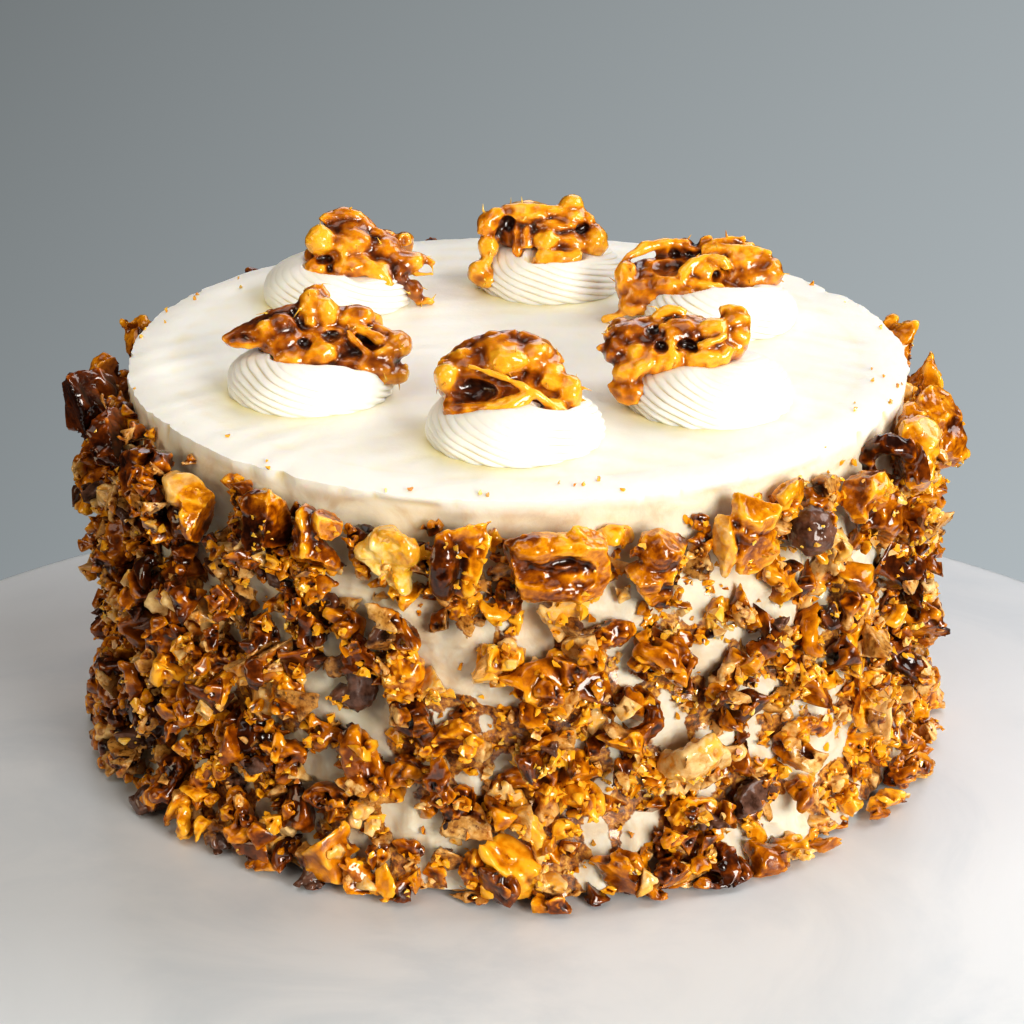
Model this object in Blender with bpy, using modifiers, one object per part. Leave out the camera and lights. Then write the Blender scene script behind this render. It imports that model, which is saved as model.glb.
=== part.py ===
"""A small frosted carrot cake, built as solids in metres, +Z up.

The cake stands on its flat underside, centred on the origin. One frosted body carries a ring of
piped cream rosettes, each with a candied walnut half pressed into it. Chopped candied walnuts cover
the side: one uneven coat round the lower part, and separate large chunks in a row under the rim.
"""

import math
import random

import bmesh
import bpy
from mathutils import Matrix, Vector, noise

# ---- Driving dimensions, in metres ------------------------------------------------------------
SIDE_RADIUS = 0.0742  # frosted side, under the lip
LIP_RADIUS = 0.0760  # the spatula pushes the top frosting out into a lip
CAKE_HEIGHT = 0.0750  # to the edge of the top
CROWN = 0.0006  # the top stands this much higher in the middle
LIP_DEPTH = 0.0050  # the lip fades into the side this far under the top
FOOT_CHAMFER = 0.0008
GAP = 0.0003  # between pieces that touch

COAT_INNER_RADIUS = SIDE_RADIUS + 0.0009
COAT_THICKNESS = 0.0100  # average, out to the nuts' outline
COAT_HEIGHT = 0.0535
COAT_ROUGHNESS = 0.0036  # how far single nuts stand out of the coat or lie back in it
COAT_ROWS = 9

ROSETTE_HEIGHT = 0.0150  # of the whole swirl, before the walnut flattens it
ROSETTE_TEETH = 9
ROSETTE_TWIST = math.radians(110)
WALNUT_BASE_HEIGHT = 0.0078  # where the walnut's underside lies, over the cake's top
WALNUT_WIDTH = 0.82  # of its length
WALNUT_THICKNESS = 0.62  # of half its length, before the folds raise it

RIM_NUT_COUNT = 28
RIM_NUT_FLOOR = COAT_HEIGHT + 0.0012  # no large chunk reaches under this height

SCREW_STEPS = 60
SEED = 11

# ---- Where things lie -------------------------------------------------------------------------
# Each rosette: azimuth on the top and distance from the middle, width of the swirl, then its walnut:
# shift from the rosette's middle along X and Y, length, turn about Z, and tilt about X and about Y.
ROSETTES = (
    # azimuth, ring,  width,  shift x, shift y, length, turn, tilt x, tilt y
    (-90, 0.0462, 0.0325, -0.0020, 0.0012, 0.0265, -12, 6, 10),
    (-38, 0.0455, 0.0320, -0.0062, 0.0010, 0.0275, 18, 8, -14),
    (25, 0.0452, 0.0320, -0.0030, 0.0020, 0.0290, 6, 10, 6),
    (80, 0.0425, 0.0315, -0.0030, -0.0010, 0.0275, 16, 12, -8),
    (138, 0.0485, 0.0315, 0.0040, -0.0008, 0.0265, -30, 8, 12),
    (-150, 0.0438, 0.0320, 0.0008, 0.0010, 0.0290, -12, 10, 10),
)

# The listed rim chunks: azimuth and height of the middle, then width along the side, height and
# depth, all in millimetres, and lean in degrees.
LISTED_RIM_NUTS = (
    (-174, 68.0, 13.0, 14.5, 11.0, 20),
    (-158, 68.5, 10.0, 11.5, 8.5, -25),
    (-147, 67.5, 9.0, 11.0, 7.5, 35),
    (-136, 65.5, 12.0, 12.5, 9.0, 15),
    (-122.5, 68.5, 8.4, 14.0, 8.0, -8),
    (-114.8, 67.0, 10.0, 12.0, 8.0, 20),
    (-105.6, 65.0, 12.0, 12.5, 7.0, 30),
    (-96.6, 66.0, 11.0, 15.0, 8.0, -30),
    (-85, 66.0, 18.4, 14.0, 9.5, 3),
    (-72.6, 63.0, 12.0, 15.0, 9.0, -15),
    (-60.5, 67.0, 12.0, 15.0, 9.0, -12),
    (-50, 64.0, 9.0, 9.0, 9.0, 0),
    (-38, 62.8, 13.4, 15.5, 9.0, 15),
    (-25.5, 67.5, 11.5, 15.0, 9.5, -15),
    (-10, 65.0, 12.5, 15.5, 11.5, 10),
)


def clear_scene():
    """Empties the scene, so that the script can be run again."""
    for old in list(bpy.data.objects):
        bpy.data.objects.remove(old)


def make_material(name, colour, roughness):
    """A plain Principled material."""
    material = bpy.data.materials.new(name)
    material.use_nodes = True
    shader = material.node_tree.nodes["Principled BSDF"]
    shader.inputs["Base Color"].default_value = (*colour, 1.0)
    shader.inputs["Roughness"].default_value = roughness
    material.diffuse_color = (*colour, 1.0)
    return material


def add_object(name, mesh, material, collection):
    """Links a mesh under the node's name, smooth between its gentle edges."""
    mesh.name = name
    mesh.shade_smooth()
    mesh.set_sharp_from_angle(angle=math.radians(50))
    mesh.materials.clear()
    mesh.materials.append(material)
    obj = bpy.data.objects.new(name, mesh)
    collection.objects.link(obj)
    return obj


def turned_mesh(profile, closed, steps):
    """Turns a profile of (radius, z) pairs about Z with a Screw modifier and returns the mesh."""
    outline = bpy.data.meshes.new("profile")
    edges = [(i, i + 1) for i in range(len(profile) - 1)]
    if closed:
        edges.append((len(profile) - 1, 0))
    outline.from_pydata([(radius, 0.0, z) for radius, z in profile], edges, [])
    helper = bpy.data.objects.new("profile", outline)
    bpy.context.scene.collection.objects.link(helper)
    screw = helper.modifiers.new("turn", "SCREW")
    screw.steps = steps
    screw.render_steps = steps
    screw.use_merge_vertices = True
    screw.merge_threshold = 0.00005
    bpy.context.view_layer.update()
    graph = bpy.context.evaluated_depsgraph_get()
    mesh = bpy.data.meshes.new_from_object(helper.evaluated_get(graph))
    bpy.data.objects.remove(helper)
    return mesh


def side_wave(azimuth, z):
    """How far a palette knife leaves the side in or out of true, from -1 to 1."""
    return (
        0.5 * math.sin(3 * azimuth + 0.6)
        + 0.3 * math.sin(7 * azimuth + 90 * z)
        + 0.2 * math.sin(13 * azimuth - 60 * z)
    )


# ---- The frosted body -------------------------------------------------------------------------
def build_cake(material, collection):
    """The frosted cake: uncut, so it is solid, with a slightly wavy lip round the top."""
    lip_steps = 5
    profile = [(0.0, CAKE_HEIGHT + CROWN), (LIP_RADIUS - 0.0030, CAKE_HEIGHT)]
    for step in range(lip_steps + 1):
        turn = math.pi * step / lip_steps
        radius = LIP_RADIUS - 0.0012 + 0.0012 * math.sin(turn)
        z = CAKE_HEIGHT - LIP_DEPTH * 0.5 * (1 - math.cos(turn))
        profile.append((radius, z - 0.0002))
    profile.append((SIDE_RADIUS, CAKE_HEIGHT - LIP_DEPTH - 0.0040))
    profile.append((SIDE_RADIUS, FOOT_CHAMFER))
    profile.append((SIDE_RADIUS - FOOT_CHAMFER, 0.0))
    profile.append((0.0, 0.0))
    mesh = turned_mesh(profile, False, SCREW_STEPS)
    for vertex in mesh.vertices:
        radius = math.hypot(vertex.co.x, vertex.co.y)
        if vertex.co.z < FOOT_CHAMFER or radius < 0.06:
            continue
        azimuth = math.atan2(vertex.co.y, vertex.co.x)
        scale = 1 + 0.0004 * side_wave(azimuth, vertex.co.z) / radius
        vertex.co.x *= scale
        vertex.co.y *= scale
    return add_object("frosted_cake", mesh, material, collection)


# ---- The coat of chopped nuts -----------------------------------------------------------------
def build_coat(material, collection):
    """The chopped nuts round the lower side, one solid out to their uneven outline."""
    outer = COAT_INNER_RADIUS + COAT_THICKNESS
    profile = [(outer - 0.0035, COAT_HEIGHT)]
    for row in range(COAT_ROWS + 1):
        share = 1 - row / COAT_ROWS
        profile.append((outer, 0.0030 + share * (COAT_HEIGHT - 0.0075)))
    profile.append((outer - 0.0012, 0.0))
    profile.append((COAT_INNER_RADIUS, 0.0))
    profile.append((COAT_INNER_RADIUS, COAT_HEIGHT - 0.0020))
    mesh = turned_mesh(profile, True, SCREW_STEPS)
    for vertex in mesh.vertices:
        place = vertex.co.copy()
        radius = math.hypot(place.x, place.y)
        if radius < COAT_INNER_RADIUS + 0.0005:
            continue
        lump = noise.noise(place / 0.0095) + 0.8 * noise.noise(place / 0.0048 + Vector((3, 3, 3)))
        scale = 1 + COAT_ROUGHNESS * lump / radius
        vertex.co.x *= scale
        vertex.co.y *= scale
        if place.z > 0.001:
            vertex.co.z += 0.0010 * noise.noise(place / 0.006 + Vector((5, 5, 5)))
    return add_object("nut_coat", mesh, material, collection)


# ---- Rosettes and their walnuts ---------------------------------------------------------------
def walnut_frame(row):
    """The matrix that places a walnut: flat underside on its local XY plane, length along X."""
    azimuth, ring, _, shift_x, shift_y, _, turn, tilt_x, tilt_y = row
    angle = math.radians(azimuth)
    place = Vector(
        (
            ring * math.cos(angle) + shift_x,
            ring * math.sin(angle) + shift_y,
            CAKE_HEIGHT + CROWN + WALNUT_BASE_HEIGHT,
        )
    )
    return (
        Matrix.Translation(place)
        @ Matrix.Rotation(math.radians(tilt_y), 4, "Y")
        @ Matrix.Rotation(math.radians(tilt_x), 4, "X")
        @ Matrix.Rotation(math.radians(turn), 4, "Z")
    )


def build_rosette(number, row, material, collection):
    """A swirl from a star nozzle, pressed flat on top in the plane of its walnut's underside."""
    rings = 10
    half_width = row[2] / 2
    shape = bmesh.new()
    bmesh.ops.create_circle(shape, cap_ends=False, segments=2 * ROSETTE_TEETH, radius=1.0)
    base = list(shape.verts)
    for index, vertex in enumerate(base):
        vertex.co *= 1.0 if index % 2 else 0.90
    outline = [vertex.co.copy() for vertex in base]
    shape.clear()
    levels = []
    for ring in range(rings):
        share = ring / (rings - 1)
        width = half_width * math.cos(share * math.pi / 2 * 0.93) ** 0.55
        if ring == 0:
            width *= 0.97
        turn = Matrix.Rotation(-ROSETTE_TWIST * share, 3, "Z")
        height = Vector((0, 0, ROSETTE_HEIGHT * share))
        levels.append([shape.verts.new(turn @ (point * width) + height) for point in outline])
    for low, high in zip(levels, levels[1:]):
        for index in range(len(outline)):
            after = (index + 1) % len(outline)
            shape.faces.new((low[index], low[after], high[after], high[index]))
    shape.faces.new(list(reversed(levels[0])))
    shape.faces.new(levels[-1])
    angle = math.radians(row[0])
    middle = Vector(
        (row[1] * math.cos(angle), row[1] * math.sin(angle), CAKE_HEIGHT + CROWN + GAP)
    )
    bmesh.ops.translate(shape, verts=shape.verts, vec=middle)
    frame = walnut_frame(row)
    normal = (frame.to_3x3() @ Vector((0, 0, 1))).normalized()
    cut = bmesh.ops.bisect_plane(
        shape,
        geom=shape.verts[:] + shape.edges[:] + shape.faces[:],
        plane_co=frame.translation - GAP * normal,
        plane_no=normal,
        clear_outer=True,
        dist=1e-7,
    )
    rim = [edge for edge in cut["geom_cut"] if isinstance(edge, bmesh.types.BMEdge)]
    bmesh.ops.edgeloop_fill(shape, edges=rim)
    bmesh.ops.recalc_face_normals(shape, faces=shape.faces)
    mesh = bpy.data.meshes.new("rosette")
    shape.to_mesh(mesh)
    shape.free()
    return add_object(f"rosette_{number}", mesh, material, collection)


def kernel_relief(point, offset):
    """How far a walnut kernel's surface stands out at a point, in half lengths of the kernel.

    A groove runs along the middle, and rounded folds with narrow furrows between them cover both
    sides of it.
    """
    groove = math.exp(-((point.y / 0.15) ** 2))
    folded = Vector((point.x * 1.5, abs(point.y) * 1.15, point.z * 1.1)) * 1.75 + offset
    distances, _ = noise.voronoi(folded)
    fold = min((distances[1] - distances[0]) / 0.45, 1.0)
    fold = fold * fold * (3 - 2 * fold)
    return 0.20 * fold - 0.20 * groove


def build_walnut(number, row, material, collection):
    """A candied walnut half: a domed kernel with deep folds, flat underneath."""
    shape = bmesh.new()
    bmesh.ops.create_icosphere(shape, subdivisions=4, radius=0.92)
    offset = Vector((3.1 * number, 1.7 * number, 0.9 * number))
    for vertex in shape.verts:
        vertex.co *= 1 + kernel_relief(vertex.co, offset)
    bmesh.ops.smooth_vert(
        shape, verts=shape.verts, factor=0.6, use_axis_x=True, use_axis_y=True, use_axis_z=True
    )
    half = row[5] / 2
    size = (half, half * WALNUT_WIDTH, half * WALNUT_THICKNESS)
    bmesh.ops.scale(shape, verts=shape.verts, vec=size)
    bmesh.ops.translate(shape, verts=shape.verts, vec=(0, 0, half * 0.14))
    cut = bmesh.ops.bisect_plane(
        shape,
        geom=shape.verts[:] + shape.edges[:] + shape.faces[:],
        plane_co=(0, 0, 0),
        plane_no=(0, 0, -1),
        clear_outer=True,
        dist=1e-7,
    )
    rim = [edge for edge in cut["geom_cut"] if isinstance(edge, bmesh.types.BMEdge)]
    bmesh.ops.edgeloop_fill(shape, edges=rim)
    bmesh.ops.recalc_face_normals(shape, faces=shape.faces)
    mesh = bpy.data.meshes.new("walnut")
    shape.to_mesh(mesh)
    shape.free()
    mesh.transform(walnut_frame(row))
    walnut = add_object(f"walnut_{number}", mesh, material, collection)
    thin = walnut.modifiers.new("coarser", "DECIMATE")
    thin.ratio = 0.34
    return walnut


# ---- Large chunks under the rim ---------------------------------------------------------------
def rim_nut_rows(rng):
    """The listed chunks, then a row of the same kind round the rest of the rim."""
    rows = list(LISTED_RIM_NUTS)
    first = LISTED_RIM_NUTS[-1][0]
    last = LISTED_RIM_NUTS[0][0] + 360
    more = RIM_NUT_COUNT - len(rows)
    for index in range(more):
        azimuth = first + (last - first) * (index + 1) / (more + 1)
        middle = rng.uniform(63.5, 68.5)
        width = rng.uniform(11.0, 14.5)
        height = rng.uniform(11.0, 15.0)
        depth = rng.uniform(7.5, 9.8)
        rows.append((azimuth, middle, width, height, depth, rng.uniform(-30, 30)))
    return rows


def build_rim_nut(number, row, rng, material, collection):
    """A broken piece of candied walnut: a lumpy ball with a few flat breaks, stuck to the side."""
    azimuth, middle, width, height, depth, lean = row
    shape = bmesh.new()
    bmesh.ops.create_icosphere(shape, subdivisions=2, radius=0.5)
    offset = Vector((rng.uniform(0, 40), rng.uniform(0, 40), rng.uniform(0, 40)))
    for vertex in shape.verts:
        vertex.co *= 1.05 + 0.30 * noise.noise(vertex.co * 3.2 + offset)
    for _ in range(3):
        normal = Vector((rng.uniform(0.1, 1), rng.uniform(-1, 1), rng.uniform(-1, 1))).normalized()
        cut = bmesh.ops.bisect_plane(
            shape,
            geom=shape.verts[:] + shape.edges[:] + shape.faces[:],
            plane_co=normal * 0.40,
            plane_no=normal,
            clear_outer=True,
            dist=1e-5,
        )
        rim = [edge for edge in cut["geom_cut"] if isinstance(edge, bmesh.types.BMEdge)]
        if rim:
            bmesh.ops.edgeloop_fill(shape, edges=rim)
    bmesh.ops.recalc_face_normals(shape, faces=shape.faces)
    bmesh.ops.rotate(shape, verts=shape.verts, matrix=Matrix.Rotation(math.radians(lean), 3, "X"))
    low = Vector(min(vertex.co[axis] for vertex in shape.verts) for axis in range(3))
    high = Vector(max(vertex.co[axis] for vertex in shape.verts) for axis in range(3))
    size = Vector((depth, width, height)) * 0.001
    for vertex in shape.verts:
        for axis in range(3):
            share = (vertex.co[axis] - low[axis]) / (high[axis] - low[axis])
            vertex.co[axis] = share * size[axis]
    # The back is pressed against the frosting, so it follows the round side and its lip.
    bottom = max(middle * 0.001 - size.z / 2, RIM_NUT_FLOOR)
    inner = LIP_RADIUS + 0.0008
    for vertex in shape.verts:
        across = vertex.co.y - size.y / 2
        vertex.co = Vector(
            (
                math.sqrt(max(inner**2 - across**2, 0.0)) + vertex.co.x,
                across,
                vertex.co.z + bottom,
            )
        )
    mesh = bpy.data.meshes.new("rim_nut")
    shape.to_mesh(mesh)
    shape.free()
    mesh.transform(Matrix.Rotation(math.radians(azimuth), 4, "Z"))
    return add_object(f"rim_nut_{number:02d}", mesh, material, collection)


# ---- Assembly ---------------------------------------------------------------------------------
def centre_on_base(objects):
    """Moves everything so that the middle of the outline's box lies over the origin."""
    corners = [vertex.co for obj in objects for vertex in obj.data.vertices]
    for axis in (0, 1):
        middle = (min(c[axis] for c in corners) + max(c[axis] for c in corners)) / 2
        for obj in objects:
            obj.location[axis] = -middle


def build():
    """Builds every piece of the cake in one collection."""
    clear_scene()
    collection = bpy.data.collections.new("carrot_cake")
    bpy.context.scene.collection.children.link(collection)
    frosting = make_material("cream_cheese_frosting", (0.93, 0.90, 0.82), 0.45)
    candied = make_material("candied_walnut", (0.42, 0.19, 0.05), 0.25)
    chopped = make_material("chopped_candied_walnut", (0.50, 0.26, 0.08), 0.35)
    rng = random.Random(SEED)
    objects = [build_cake(frosting, collection), build_coat(chopped, collection)]
    for number, row in enumerate(ROSETTES, start=1):
        objects.append(build_rosette(number, row, frosting, collection))
        objects.append(build_walnut(number, row, candied, collection))
    for number, row in enumerate(rim_nut_rows(rng), start=1):
        objects.append(build_rim_nut(number, row, rng, chopped, collection))
    centre_on_base(objects)


build()
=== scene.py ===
# %% [markdown]
# # A small carrot cake with candied walnuts
# The cake is a round of sponge under cream cheese frosting. Six cream rosettes stand in a ring on the
# top, each with a candied walnut half pressed into it, and the side is covered in chopped candied
# walnuts. The sizes and places come from a fixed model, the frame, which is loaded first. Every piece
# of the frame is then replaced by a detailed one of the same size in the same place.

import math
import random

import bmesh
import bpy
import numpy as np
from mathutils import Matrix, Vector, noise
from mathutils.bvhtree import BVHTree


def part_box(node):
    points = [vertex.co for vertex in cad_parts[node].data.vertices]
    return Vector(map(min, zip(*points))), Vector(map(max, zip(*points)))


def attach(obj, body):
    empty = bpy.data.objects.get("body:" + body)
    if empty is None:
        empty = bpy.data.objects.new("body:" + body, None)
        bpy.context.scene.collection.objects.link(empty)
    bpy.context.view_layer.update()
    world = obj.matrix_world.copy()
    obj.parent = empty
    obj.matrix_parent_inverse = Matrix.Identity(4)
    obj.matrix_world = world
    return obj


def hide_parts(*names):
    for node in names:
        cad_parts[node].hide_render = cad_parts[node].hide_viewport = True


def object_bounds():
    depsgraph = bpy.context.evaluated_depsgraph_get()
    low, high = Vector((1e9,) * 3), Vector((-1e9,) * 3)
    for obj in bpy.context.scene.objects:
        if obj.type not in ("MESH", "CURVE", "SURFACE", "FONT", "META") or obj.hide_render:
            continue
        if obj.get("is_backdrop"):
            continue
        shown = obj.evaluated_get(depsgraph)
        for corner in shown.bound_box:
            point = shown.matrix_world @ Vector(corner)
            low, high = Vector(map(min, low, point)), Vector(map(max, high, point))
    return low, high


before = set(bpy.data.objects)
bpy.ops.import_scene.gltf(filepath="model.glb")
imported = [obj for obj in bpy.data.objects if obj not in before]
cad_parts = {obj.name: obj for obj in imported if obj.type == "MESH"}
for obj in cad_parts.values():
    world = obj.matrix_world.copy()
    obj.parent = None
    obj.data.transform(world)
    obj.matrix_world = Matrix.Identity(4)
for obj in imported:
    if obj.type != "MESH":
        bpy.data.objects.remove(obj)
cad_low, cad_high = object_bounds()
MM = 0.001
print("the frame has", len(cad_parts), "pieces and is", round(cad_high.z / MM), "mm high")

# %% [markdown]
# ## Where the cake lies
# The frosted body's box gives the cake's axis, its radius at the lip and the height of its top. The
# whole frame's box gives how far the nuts may stand out.

# %% Measure the cake
cake_low, cake_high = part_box("frosted_cake")
AXIS = Vector(((cake_low.x + cake_high.x) / 2, (cake_low.y + cake_high.y) / 2, 0))
LIP_RADIUS = (cake_high.x - cake_low.x) / 2
TOP = cake_high.z
OUTLINE_MARGIN = 0.3 * MM
OUTER_RADIUS = min(cad_high.x, -cad_low.x, cad_high.y, -cad_low.y) - OUTLINE_MARGIN
LIP_OVERHANG = 1.6 * MM
SIDE_RADIUS = LIP_RADIUS - LIP_OVERHANG
print("the lip lies", round(LIP_RADIUS / MM, 1), "mm from the axis and", round(TOP / MM, 1), "mm high")
print("the nuts reach", round(OUTER_RADIUS / MM, 1), "mm from the axis")


def on_side(azimuth, radius, z):
    """The point at an azimuth in degrees, a distance from the cake's axis and a height."""
    angle = math.radians(azimuth)
    return AXIS + Vector((radius * math.cos(angle), radius * math.sin(angle), z))


# %% [markdown]
# ## Small helpers for modelling
# Most operators work on what is selected, and the frame's pieces are still selected after loading. So
# each step first makes its own piece the only one selected. A finished piece has its place in its mesh,
# with its object at the origin, so its transform is applied, and its modifiers are applied too.

# %% Select, apply and read vertices
def only(piece):
    """Leaves edit mode and makes this piece the one selected and active object."""
    if bpy.context.mode != "OBJECT":
        bpy.ops.object.mode_set(mode="OBJECT")
    bpy.ops.object.select_all(action="DESELECT")
    piece.select_set(True)
    bpy.context.view_layer.objects.active = piece


def apply_modifiers(piece):
    """Applies a piece's modifiers from the first to the last."""
    only(piece)
    for name in [modifier.name for modifier in piece.modifiers]:
        bpy.ops.object.modifier_apply(modifier=name)


def apply_place(piece):
    """Moves a piece's place, turn and scale into its mesh."""
    only(piece)
    bpy.ops.object.transform_apply(location=True, rotation=True, scale=True)


def own_copy(piece, name):
    """A copy of a piece with its own mesh."""
    copy = piece.copy()
    copy.data = piece.data.copy()
    copy.name = name
    bpy.context.scene.collection.objects.link(copy)
    return copy


def join(pieces):
    """Joins pieces into the first one."""
    only(pieces[0])
    for piece in pieces[1:]:
        piece.select_set(True)
    if len(pieces) > 1:
        bpy.ops.object.join()
    return pieces[0]


def read_points(piece):
    """All vertices of a piece as rows of x, y, z."""
    rows = np.empty(len(piece.data.vertices) * 3)
    piece.data.vertices.foreach_get("co", rows)
    return rows.reshape(-1, 3)


def write_points(piece, rows):
    """Moves the vertices of a piece to these rows."""
    piece.data.vertices.foreach_set("co", np.ascontiguousarray(rows, float).ravel())
    piece.data.update()


def write_value(piece, name, values):
    """Stores one number for each vertex, for the material to read."""
    held = piece.data.attributes.get(name) or piece.data.attributes.new(name, "FLOAT", "POINT")
    held.data.foreach_set("value", np.broadcast_to(values, len(piece.data.vertices)).astype(np.float32))


def smooth_look(piece, degrees=180):
    """Shades a piece smooth, except over edges sharper than this."""
    only(piece)
    if degrees >= 180:
        bpy.ops.object.shade_smooth()
    else:
        bpy.ops.object.shade_smooth_by_angle(angle=math.radians(degrees))


# %% [markdown]
# ## Keep every piece inside the frame's box
# A few points of a scattered nut or of a sugar thread may reach past the outline of the frame, under its
# base or over its top. They are pulled back to it. Nuts that reach under the base would all be cut off
# flat there, so what lies under the settling height is pressed together softly instead.

# %% Pull points back to the outline
SETTLING_HEIGHT = 3 * MM
BOX_INSET = 0.05 * MM


def keep_in_box(piece):
    """Pulls the few points of a piece that leave the frame's box back into it, and settles its foot."""
    low = np.array(cad_low) + BOX_INSET
    high = np.array(cad_high) - (BOX_INSET, BOX_INSET, 0)
    points = read_points(piece)
    room = SETTLING_HEIGHT - low[2]
    settled = low[2] + room * np.exp(np.minimum(points[:, 2] - SETTLING_HEIGHT, 0) / room)
    points[:, 2] = np.where(points[:, 2] < SETTLING_HEIGHT, settled, points[:, 2])
    write_points(piece, np.clip(points, low, high))


def squeeze_down(piece, floor, top):
    """Lowers what stands over a floor height, all in the same proportion, so that it ends at the top."""
    points = read_points(piece)
    share = min(1.0, (top - floor) / (points[:, 2].max() - floor))
    points[:, 2] = np.where(points[:, 2] > floor, floor + (points[:, 2] - floor) * share, points[:, 2])
    write_points(piece, points)


def keep_in(piece):
    """Pulls the few points of a piece that leave the frame's round outline back to it."""
    points = read_points(piece)
    flat = points[:, :2] - np.array(AXIS)[:2]
    radius = np.maximum(np.hypot(flat[:, 0], flat[:, 1]), 1e-6)
    grow = np.minimum(1.0, OUTER_RADIUS / radius)
    points[:, :2] = flat * grow[:, None] + np.array(AXIS)[:2]
    write_points(piece, points)
    keep_in_box(piece)


# %% [markdown]
# ## A value for grooves and ridges
# Syrup is dark where it lies deep in a fold and bright amber where it is thin over a ridge, and the
# folds are also painted darker, as painted shade. To colour a nut that way, the material has to know
# which vertices lie deep. A blurred copy of the shape shows it: a vertex in a groove lies under its
# blurred self and one on a ridge lies over it. The difference is stored on the vertices, from 0 in the
# deepest groove to 1 on the highest ridge. It is measured against a slightly blurred shape and a well
# blurred one, so that fine creases count as well as broad folds.

# %% Measure the relief of a mesh
def mark_relief(piece, passes, depth):
    """Stores relief on the vertices: 0 this deep under the blurred shape, 1 as far over it."""
    points = read_points(piece)
    count = len(points)
    ends = np.empty(len(piece.data.edges) * 2, int)
    piece.data.edges.foreach_get("vertices", ends)
    first, second = ends.reshape(-1, 2).T
    neighbours = np.maximum(np.bincount(ends, minlength=count), 1)
    normals = np.empty(count * 3)
    piece.data.vertices.foreach_get("normal", normals)
    blurred = points.copy()
    heights = []
    for number in range(1, passes + 1):
        for axis in range(3):
            column = blurred[:, axis]
            total = np.bincount(first, column[second], count) + np.bincount(second, column[first], count)
            blurred[:, axis] = 0.4 * column + 0.6 * total / neighbours
        if number in (max(passes // 6, 1), passes):
            heights.append(((points - blurred) * normals.reshape(-1, 3)).sum(axis=1))
    height = heights[-1] + heights[0]
    write_value(piece, "relief", np.clip(0.5 + 0.5 * height / depth, 0, 1))


# %% [markdown]
# ## Shader maths as plain expressions
# A material is a graph of nodes. To write one in code and still read it, a small class wraps a socket
# and gives it + - * /, so that an expression on values adds its Math nodes by itself. A second class
# holds the nodes of one material, or of the world, and adds any other node from its type, its settings
# and its inputs.

# %% Wrap a socket
class Value:
    """A number socket of a material on which ordinary maths works."""

    def __init__(self, recipe, socket):
        self.recipe = recipe
        self.socket = socket

    def math(self, operation, *others):
        return self.recipe.add("ShaderNodeMath", {"operation": operation}, [self, *others])

    def __add__(self, other):
        return self.math("ADD", other)

    def __radd__(self, other):
        return self.math("ADD", other)

    def __mul__(self, other):
        return self.math("MULTIPLY", other)

    def __rmul__(self, other):
        return self.math("MULTIPLY", other)

    def __sub__(self, other):
        return self.math("SUBTRACT", other)

    def __rsub__(self, other):
        return self.recipe.add("ShaderNodeMath", {"operation": "SUBTRACT"}, [other, self])

    def __truediv__(self, other):
        return self.math("DIVIDE", other)

    def between(self, low, high):
        """0 under low, 1 over high, and a smooth rise between them."""
        limits = {"Value": self, "From Min": low, "From Max": high}
        return self.recipe.add("ShaderNodeMapRange", {"interpolation_type": "SMOOTHSTEP"}, limits)


class Recipe:
    """The nodes of one material or of the world."""

    def __init__(self, holder):
        holder.use_nodes = True
        self.holder = holder
        self.tree = holder.node_tree
        self.shader = self.tree.nodes.get("Principled BSDF")

    def plug(self, socket, value):
        """Links a value to a socket, or sets the socket to a plain number or colour."""
        if isinstance(value, Value):
            self.tree.links.new(value.socket, socket)
        elif isinstance(value, (tuple, list)) and len(socket.default_value) == 4:
            socket.default_value = (*value[:3], 1.0)
        else:
            socket.default_value = value

    def add(self, kind, settings, inputs, output=0):
        """Adds a node: its settings first, then its inputs by name, by number or in order."""
        node = self.tree.nodes.new(kind)
        for name, value in settings.items():
            if name == "stops":
                self.set_stops(node.color_ramp.elements, value)
            else:
                setattr(node, name, value)
        named = inputs.items() if isinstance(inputs, dict) else enumerate(inputs)
        for name, value in named:
            self.plug(node.inputs[name], value)
        return Value(self, node.outputs[output])

    def set_stops(self, elements, stops):
        """Gives a colour ramp its stops, each a position and a colour."""
        while len(elements) < len(stops):
            elements.new(1.0)
        for element, (position, colour) in zip(elements, stops):
            element.position = position
            element.color = (*colour, 1.0)

    def attribute(self, name):
        return self.add("ShaderNodeAttribute", {"attribute_name": name}, {}, "Fac")

    def place(self):
        return self.add("ShaderNodeTexCoord", {}, {}, "Object")

    def noise(self, size, detail=3.0, roughness=0.5, distortion=0.0):
        """A cloudy pattern from 0 to 1 with lumps of this size in metres."""
        inputs = {"Vector": self.place(), "Scale": 1 / size, "Detail": detail}
        inputs.update({"Roughness": roughness, "Distortion": distortion})
        return self.add("ShaderNodeTexNoise", {}, inputs, "Fac")

    def mix(self, share, low, high):
        """Goes from the colour low to the colour high as share goes from 0 to 1."""
        sockets = {"share": 0, "low": 6, "high": 7, "result": 2}
        inputs = {sockets["share"]: share, sockets["low"]: low, sockets["high"]: high}
        return self.add("ShaderNodeMix", {"data_type": "RGBA"}, inputs, sockets["result"])

    def ramp(self, value, stops):
        """A colour for each height of a value, blended between the stops."""
        return self.add("ShaderNodeValToRGB", {"stops": stops}, [value], "Color")

    def bump(self, height, distance, strength):
        """Small relief for the shader's Normal, this high in metres."""
        inputs = {"Height": height, "Distance": distance, "Strength": strength}
        self.plug(self.shader.inputs["Normal"], self.add("ShaderNodeBump", {}, inputs))

    def set(self, **sockets):
        """Sets the shader's own sockets, with underscores for the spaces in their names."""
        for name, value in sockets.items():
            self.plug(self.shader.inputs[name.replace("_", " ")], value)
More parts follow.
